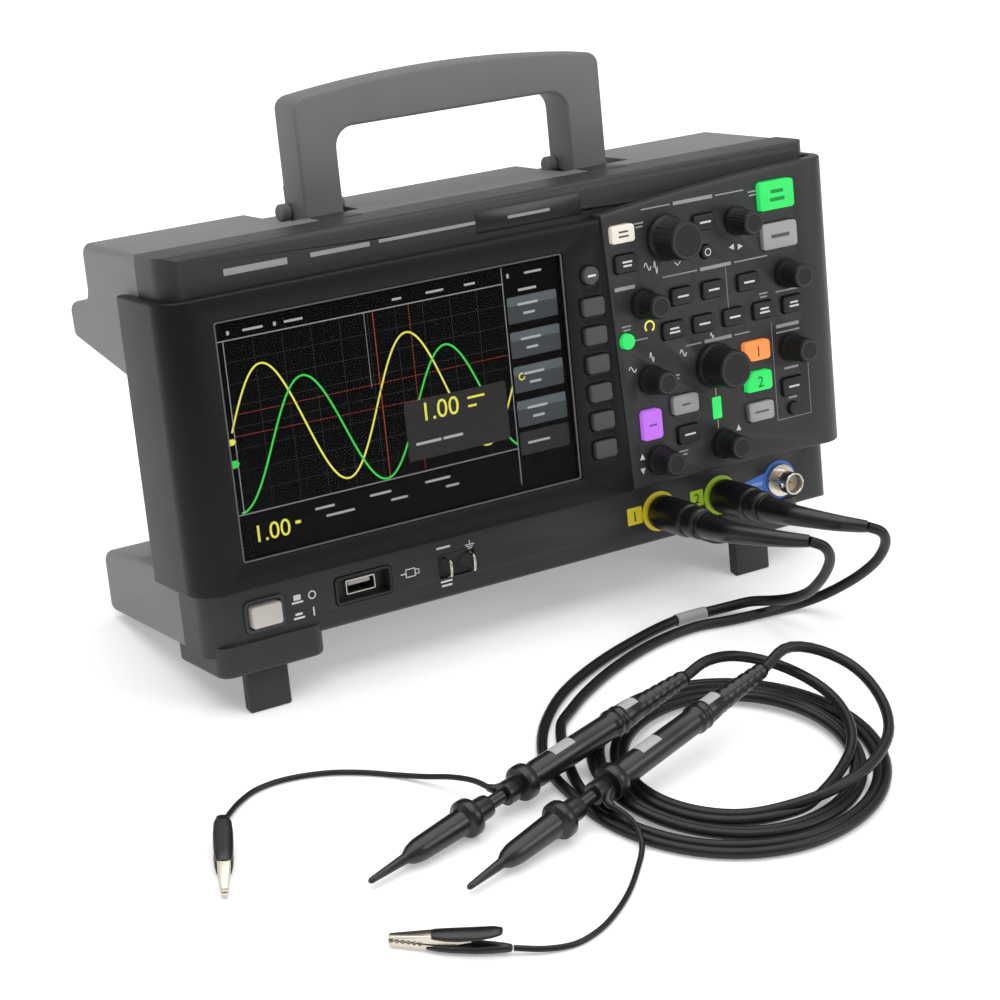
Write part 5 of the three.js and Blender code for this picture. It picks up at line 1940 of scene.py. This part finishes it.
class SCOPE_OT_probes(bpy.types.Operator):
    """Build the probes: barrels with pale tags, collars with their ground lugs, and hook sleeves"""

    bl_idname = "scope.probes"
    bl_label = "Probes"

    def execute(self, context):
        for i, probe in enumerate(PROBES):
            n = i + 1
            start, towards = probe["tip"], probe["towards"]
            sleeve = [
                (0.01, 0.0), (0.75, 0.1), (1.15, 0.8), (1.25, 2.0), (2.0, 17.6), (2.5, 18.6),
                (3.5, 20.4), (4.2, 23.0), (4.5, 25.0), (5.0, 44.0), (5.1, 46.2), (5.6, 46.8),
                (6.8, 47.3), (7.3, 48.0), (7.4, 49.6), (7.3, 51.2), (6.8, 52.0), (5.2, 52.4),
                (4.7, 53.0), (4.5, 58.6), (4.2, 60.0), (3.2, 60.0), (3.2, 24.5), (0.01, 24.5),
            ]

            def facets(at, r, y):
                if 25.5 < y < 44 and r > 4.2:
                    return r - 0.22 * max(0.0, math.cos(6 * at)) ** 3
                return r

            piece = build(f"sleeve_{n}", [along(turned(sleeve, sides=72, wave=facets), start, towards)])
            hand_over(
                piece, probe_black(), f"hook_sleeve_{n}", BENCH, [f"hook_sleeve_{n}"], 36
            )
            barrel = [
                (0.01, 34.0), (2.6, 34.0), (2.6, 68.5), (4.2, 68.5), (4.6, 68.9), (4.6, 73.5),
                (4.2, 74.2), (4.0, 75.6), (4.0, 76.2), (6.6, 76.8), (7.0, 77.5), (7.1, 79.2),
                (7.0, 81.0), (6.6, 81.7), (5.0, 82.1), (4.9, 84.0), (5.3, 86.0), (5.2, 112.0),
                (5.15, 126.0), (5.3, 127.2), (5.8, 128.0), (5.9, 129.0), (5.8, 130.0),
                (5.4, 130.6), (5.4, 131.4), (5.8, 132.0), (5.9, 133.0), (5.5, 134.0),
                (0.01, 134.0),
            ]
            body = build(f"barrel_{n}", [along(turned(barrel, sides=56), start, towards)])
            hand_over(body, probe_black(), ROOT, BENCH, [f"probe_body_{n}"], 36)
            self.tags(i)
            self.lug(i)
        return {"FINISHED"}

    def tags(self, i):
        probe = PROBES[i]
        pale = tag_pale()
        shells = []
        for y0, y1, r in ((95.0, 106.0, 5.45), (134.6, 142.0, 5.3)):
            loops = []
            for y in (y0, y1):
                outer = [
                    (math.cos(math.radians(a)) * r, y, math.sin(math.radians(a)) * r)
                    for a in range(70, 126, 5)
                ]
                inner = [
                    (math.cos(math.radians(a)) * (r - 0.4), y, math.sin(math.radians(a)) * (r - 0.4))
                    for a in range(125, 69, -5)
                ]
                loops.append(outer + inner)
            shells.append(along(rings(loops), probe["tip"], probe["towards"]))
        hand_over(build(f"probe_tags_{i + 1}", shells), pale, ROOT, BENCH)

    def lug(self, i):
        """The arm that carries the ground lead off the collar."""
        start = probe_point(i, COLLAR_REACH)
        lead = Vector(GROUND_ROUTES[i][0])
        out = (lead - start).normalized()
        away = (Vector(GROUND_ROUTES[i][1]) - lead).normalized()
        arm = [start + out * 4.0, start + out * 6.4, lead - out * 1.2, lead + away * 2.4]
        piece = build(f"ground_lug_{i + 1}", [swept([tuple(p) for p in arm], [2.6, 2.3, 1.9, 1.4], 20, 5)])
        hand_over(piece, probe_black(), ROOT, BENCH, (), 60)


class SCOPE_OT_clips(bpy.types.Operator):
    """Build the clips' metal jaws and the boots over their moving halves"""

    bl_idname = "scope.clips"
    bl_label = "Clips"

    def execute(self, context):
        for i in (0, 1):
            n = i + 1
            shine = nickel()
            taper = filleted(
                [(10, -2.6, 0), (28, -2.4, 4), (43, -1.1, 0.9), (43, 1.1, 0.9), (28, 2.4, 4), (10, 2.6, 0)],
                4,
            )
            lower = filleted([(18.0, 0.9, 0.3), (42.0, 0.5, 0.5), (42.6, 3.1, 0.2), (18.0, 3.1, 0.2)], 4)
            teeth = [block(31 + 2 * k, 32 + 2 * k, -4, 4, 2.6, 4) for k in range(6)]
            jaw = build(f"lower_jaw_{n}", [prism(lower, -2.6, 2.6)])
            boolean(jaw, teeth)
            boolean(jaw, [prism(taper, -5, 15, "plan")], "INTERSECT")
            soften_edges(jaw, 0.2, 2, 50)
            hand_over(jaw, shine, ROOT, clip_frame(i))
            upper = filleted(
                [
                    (14.0, 5.6, 0.4), (20.0, 3.6, 0.3), (42.6, 3.5, 0.2), (42.4, 4.9, 0.6),
                    (26.0, 6.9, 2.0), (14.0, 7.2, 0.4),
                ],
                4,
            )
            top = build(f"upper_jaw_{n}", [prism(upper, -2.6, 2.6)])
            boolean(top, [prism(taper, -5, 15, "plan")], "INTERSECT")
            boolean(top, [block(31 + 2 * k, 32 + 2 * k, -4, 4, 3.0, 4.0) for k in range(6)])
            soften_edges(top, 0.3, 2, 50)
            hand_over(top, shine, f"clip_jaw_{n}", clip_frame(i), [f"clip_jaw_{n}"])
            sections = [
                (3.6, 9.3, 1.0, 0.5), (4.0, 9.3, 2.2, 0.8), (7.0, 8.7, 3.3, 1.15),
                (12.0, 7.6, 3.7, 1.45), (18.0, 6.7, 3.7, 1.7), (23.0, 6.3, 3.5, 1.5),
                (27.0, 6.2, 2.9, 1.2), (28.0, 6.2, 2.4, 0.9),
            ]
            boot = build(f"jaw_boot_{n}", [lofted(sections)])
            hand_over(boot, probe_black(), f"clip_jaw_{n}", clip_frame(i), (), 60)
        return {"FINISHED"}


# ---- what the case holds, and the inlet ----
class SCOPE_OT_inside(bpy.types.Operator):
    """Finish the frame's own nodes that stay as they are: the boards and the mains inlet"""

    bl_idname = "scope.inside"
    bl_label = "Inside and inlet"

    def execute(self, context):
        kept = {
            "main_board": moulded("board_green", (0.012, 0.09, 0.035), 0.4, grain=0.002),
            "power_supply": plated("supply_metal", (0.4, 0.41, 0.42), 0.35),
            "mains_inlet": moulded("inlet_black", (0.012, 0.012, 0.013), 0.4),
        }
        for name, material in kept.items():
            NODES[name].data.materials.clear()
            NODES[name].data.materials.append(material)
        return {"FINISHED"}


# ---- stage ----
class SCOPE_OT_stage(bpy.types.Operator):
    """Set the pale floor and the soft studio light"""

    bl_idname = "scope.stage"
    bl_label = "Stage"

    def execute(self, context):
        span, glow, daylight = 6.0, 0.28, 0.42
        floor = build(
            "floor",
            [([(-span, -span, 0), (span, -span, 0), (span, span, 0), (-span, span, 0)], [[0, 1, 2, 3]])],
        )
        pale = moulded(
            "floor_pale", (0.9, 0.9, 0.9), 0.75, grain=0.004, relief=0.0, mottle=0.003, shine=0.1
        )
        pale.node_tree.nodes["Principled BSDF"].inputs["Emission Color"].default_value = (1, 1, 1, 1)
        pale.node_tree.nodes["Principled BSDF"].inputs["Emission Strength"].default_value = glow
        floor.data.materials.append(pale)
        world = bpy.data.worlds.new("studio")
        world.use_nodes = True
        world.node_tree.nodes["Background"].inputs["Color"].default_value = (1.0, 1.0, 1.0, 1)
        world.node_tree.nodes["Background"].inputs["Strength"].default_value = daylight
        context.scene.world = world
        context.scene.view_settings.view_transform = "Standard"
        for name, place, aim, width, power, tint in (
            ("top_light", (0, 0.3, 3.0), (0, 0.3, 0), 4.0, 100, (1, 0.985, 0.96)),
            ("key_light", (1.0, -1.2, 0.9), (0, 0, 0.05), 0.7, 6, (1, 0.985, 0.97)),
            ("edge_light", (-1.2, 0.5, 0.6), (0, 0, 0.1), 0.2, 0.8, (1, 0.94, 0.9)),
        ):
            lamp = bpy.data.lights.new(name, "AREA")
            lamp.shape = "RECTANGLE"
            lamp.size = lamp.size_y = width
            lamp.energy = power
            lamp.color = tint
            light = bpy.data.objects.new(name, lamp)
            light.location = place
            light.rotation_euler = (Vector(aim) - Vector(place)).to_track_quat("-Z", "Y").to_euler()
            context.scene.collection.objects.link(light)
        return {"FINISHED"}


PIECES = (
    SCOPE_OT_camera,
    SCOPE_OT_leads,
    SCOPE_OT_rear_case,
    SCOPE_OT_front_frame,
    SCOPE_OT_bezel,
    SCOPE_OT_control_panel,
    SCOPE_OT_keys,
    SCOPE_OT_knobs,
    SCOPE_OT_display,
    SCOPE_OT_printing,
    SCOPE_OT_sockets,
    SCOPE_OT_handle,
    SCOPE_OT_legs,
    SCOPE_OT_plugs,
    SCOPE_OT_probes,
    SCOPE_OT_clips,
    SCOPE_OT_inside,
    SCOPE_OT_stage,
)


class SCOPE_PT_sidebar(bpy.types.Panel):
    """Lists the colours, the sizes and the pieces"""

    bl_label = "Oscilloscope"
    bl_idname = "SCOPE_PT_sidebar"
    bl_space_type = "VIEW_3D"
    bl_region_type = "UI"
    bl_category = "Oscilloscope"

    def draw(self, context):
        for group in (colours(), sizes()):
            for name in group.bl_rna.properties.keys():
                if name not in ("rna_type", "name"):
                    self.layout.prop(group, name)
        for piece in PIECES:
            self.layout.operator(piece.bl_idname)


def register():
    for kind in (ScopeColours, ScopeSizes, *PIECES, SCOPE_PT_sidebar):
        bpy.utils.register_class(kind)
    bpy.types.Scene.scope_colours = PointerProperty(type=ScopeColours)
    bpy.types.Scene.scope_sizes = PointerProperty(type=ScopeSizes)


def unregister():
    del bpy.types.Scene.scope_sizes
    del bpy.types.Scene.scope_colours
    for kind in reversed((ScopeColours, ScopeSizes, *PIECES, SCOPE_PT_sidebar)):
        bpy.utils.unregister_class(kind)


def main():
    register()
    for piece in PIECES:
        getattr(bpy.ops.scope, piece.bl_idname.split(".")[1])()


if __name__ == "__main__":
    main()
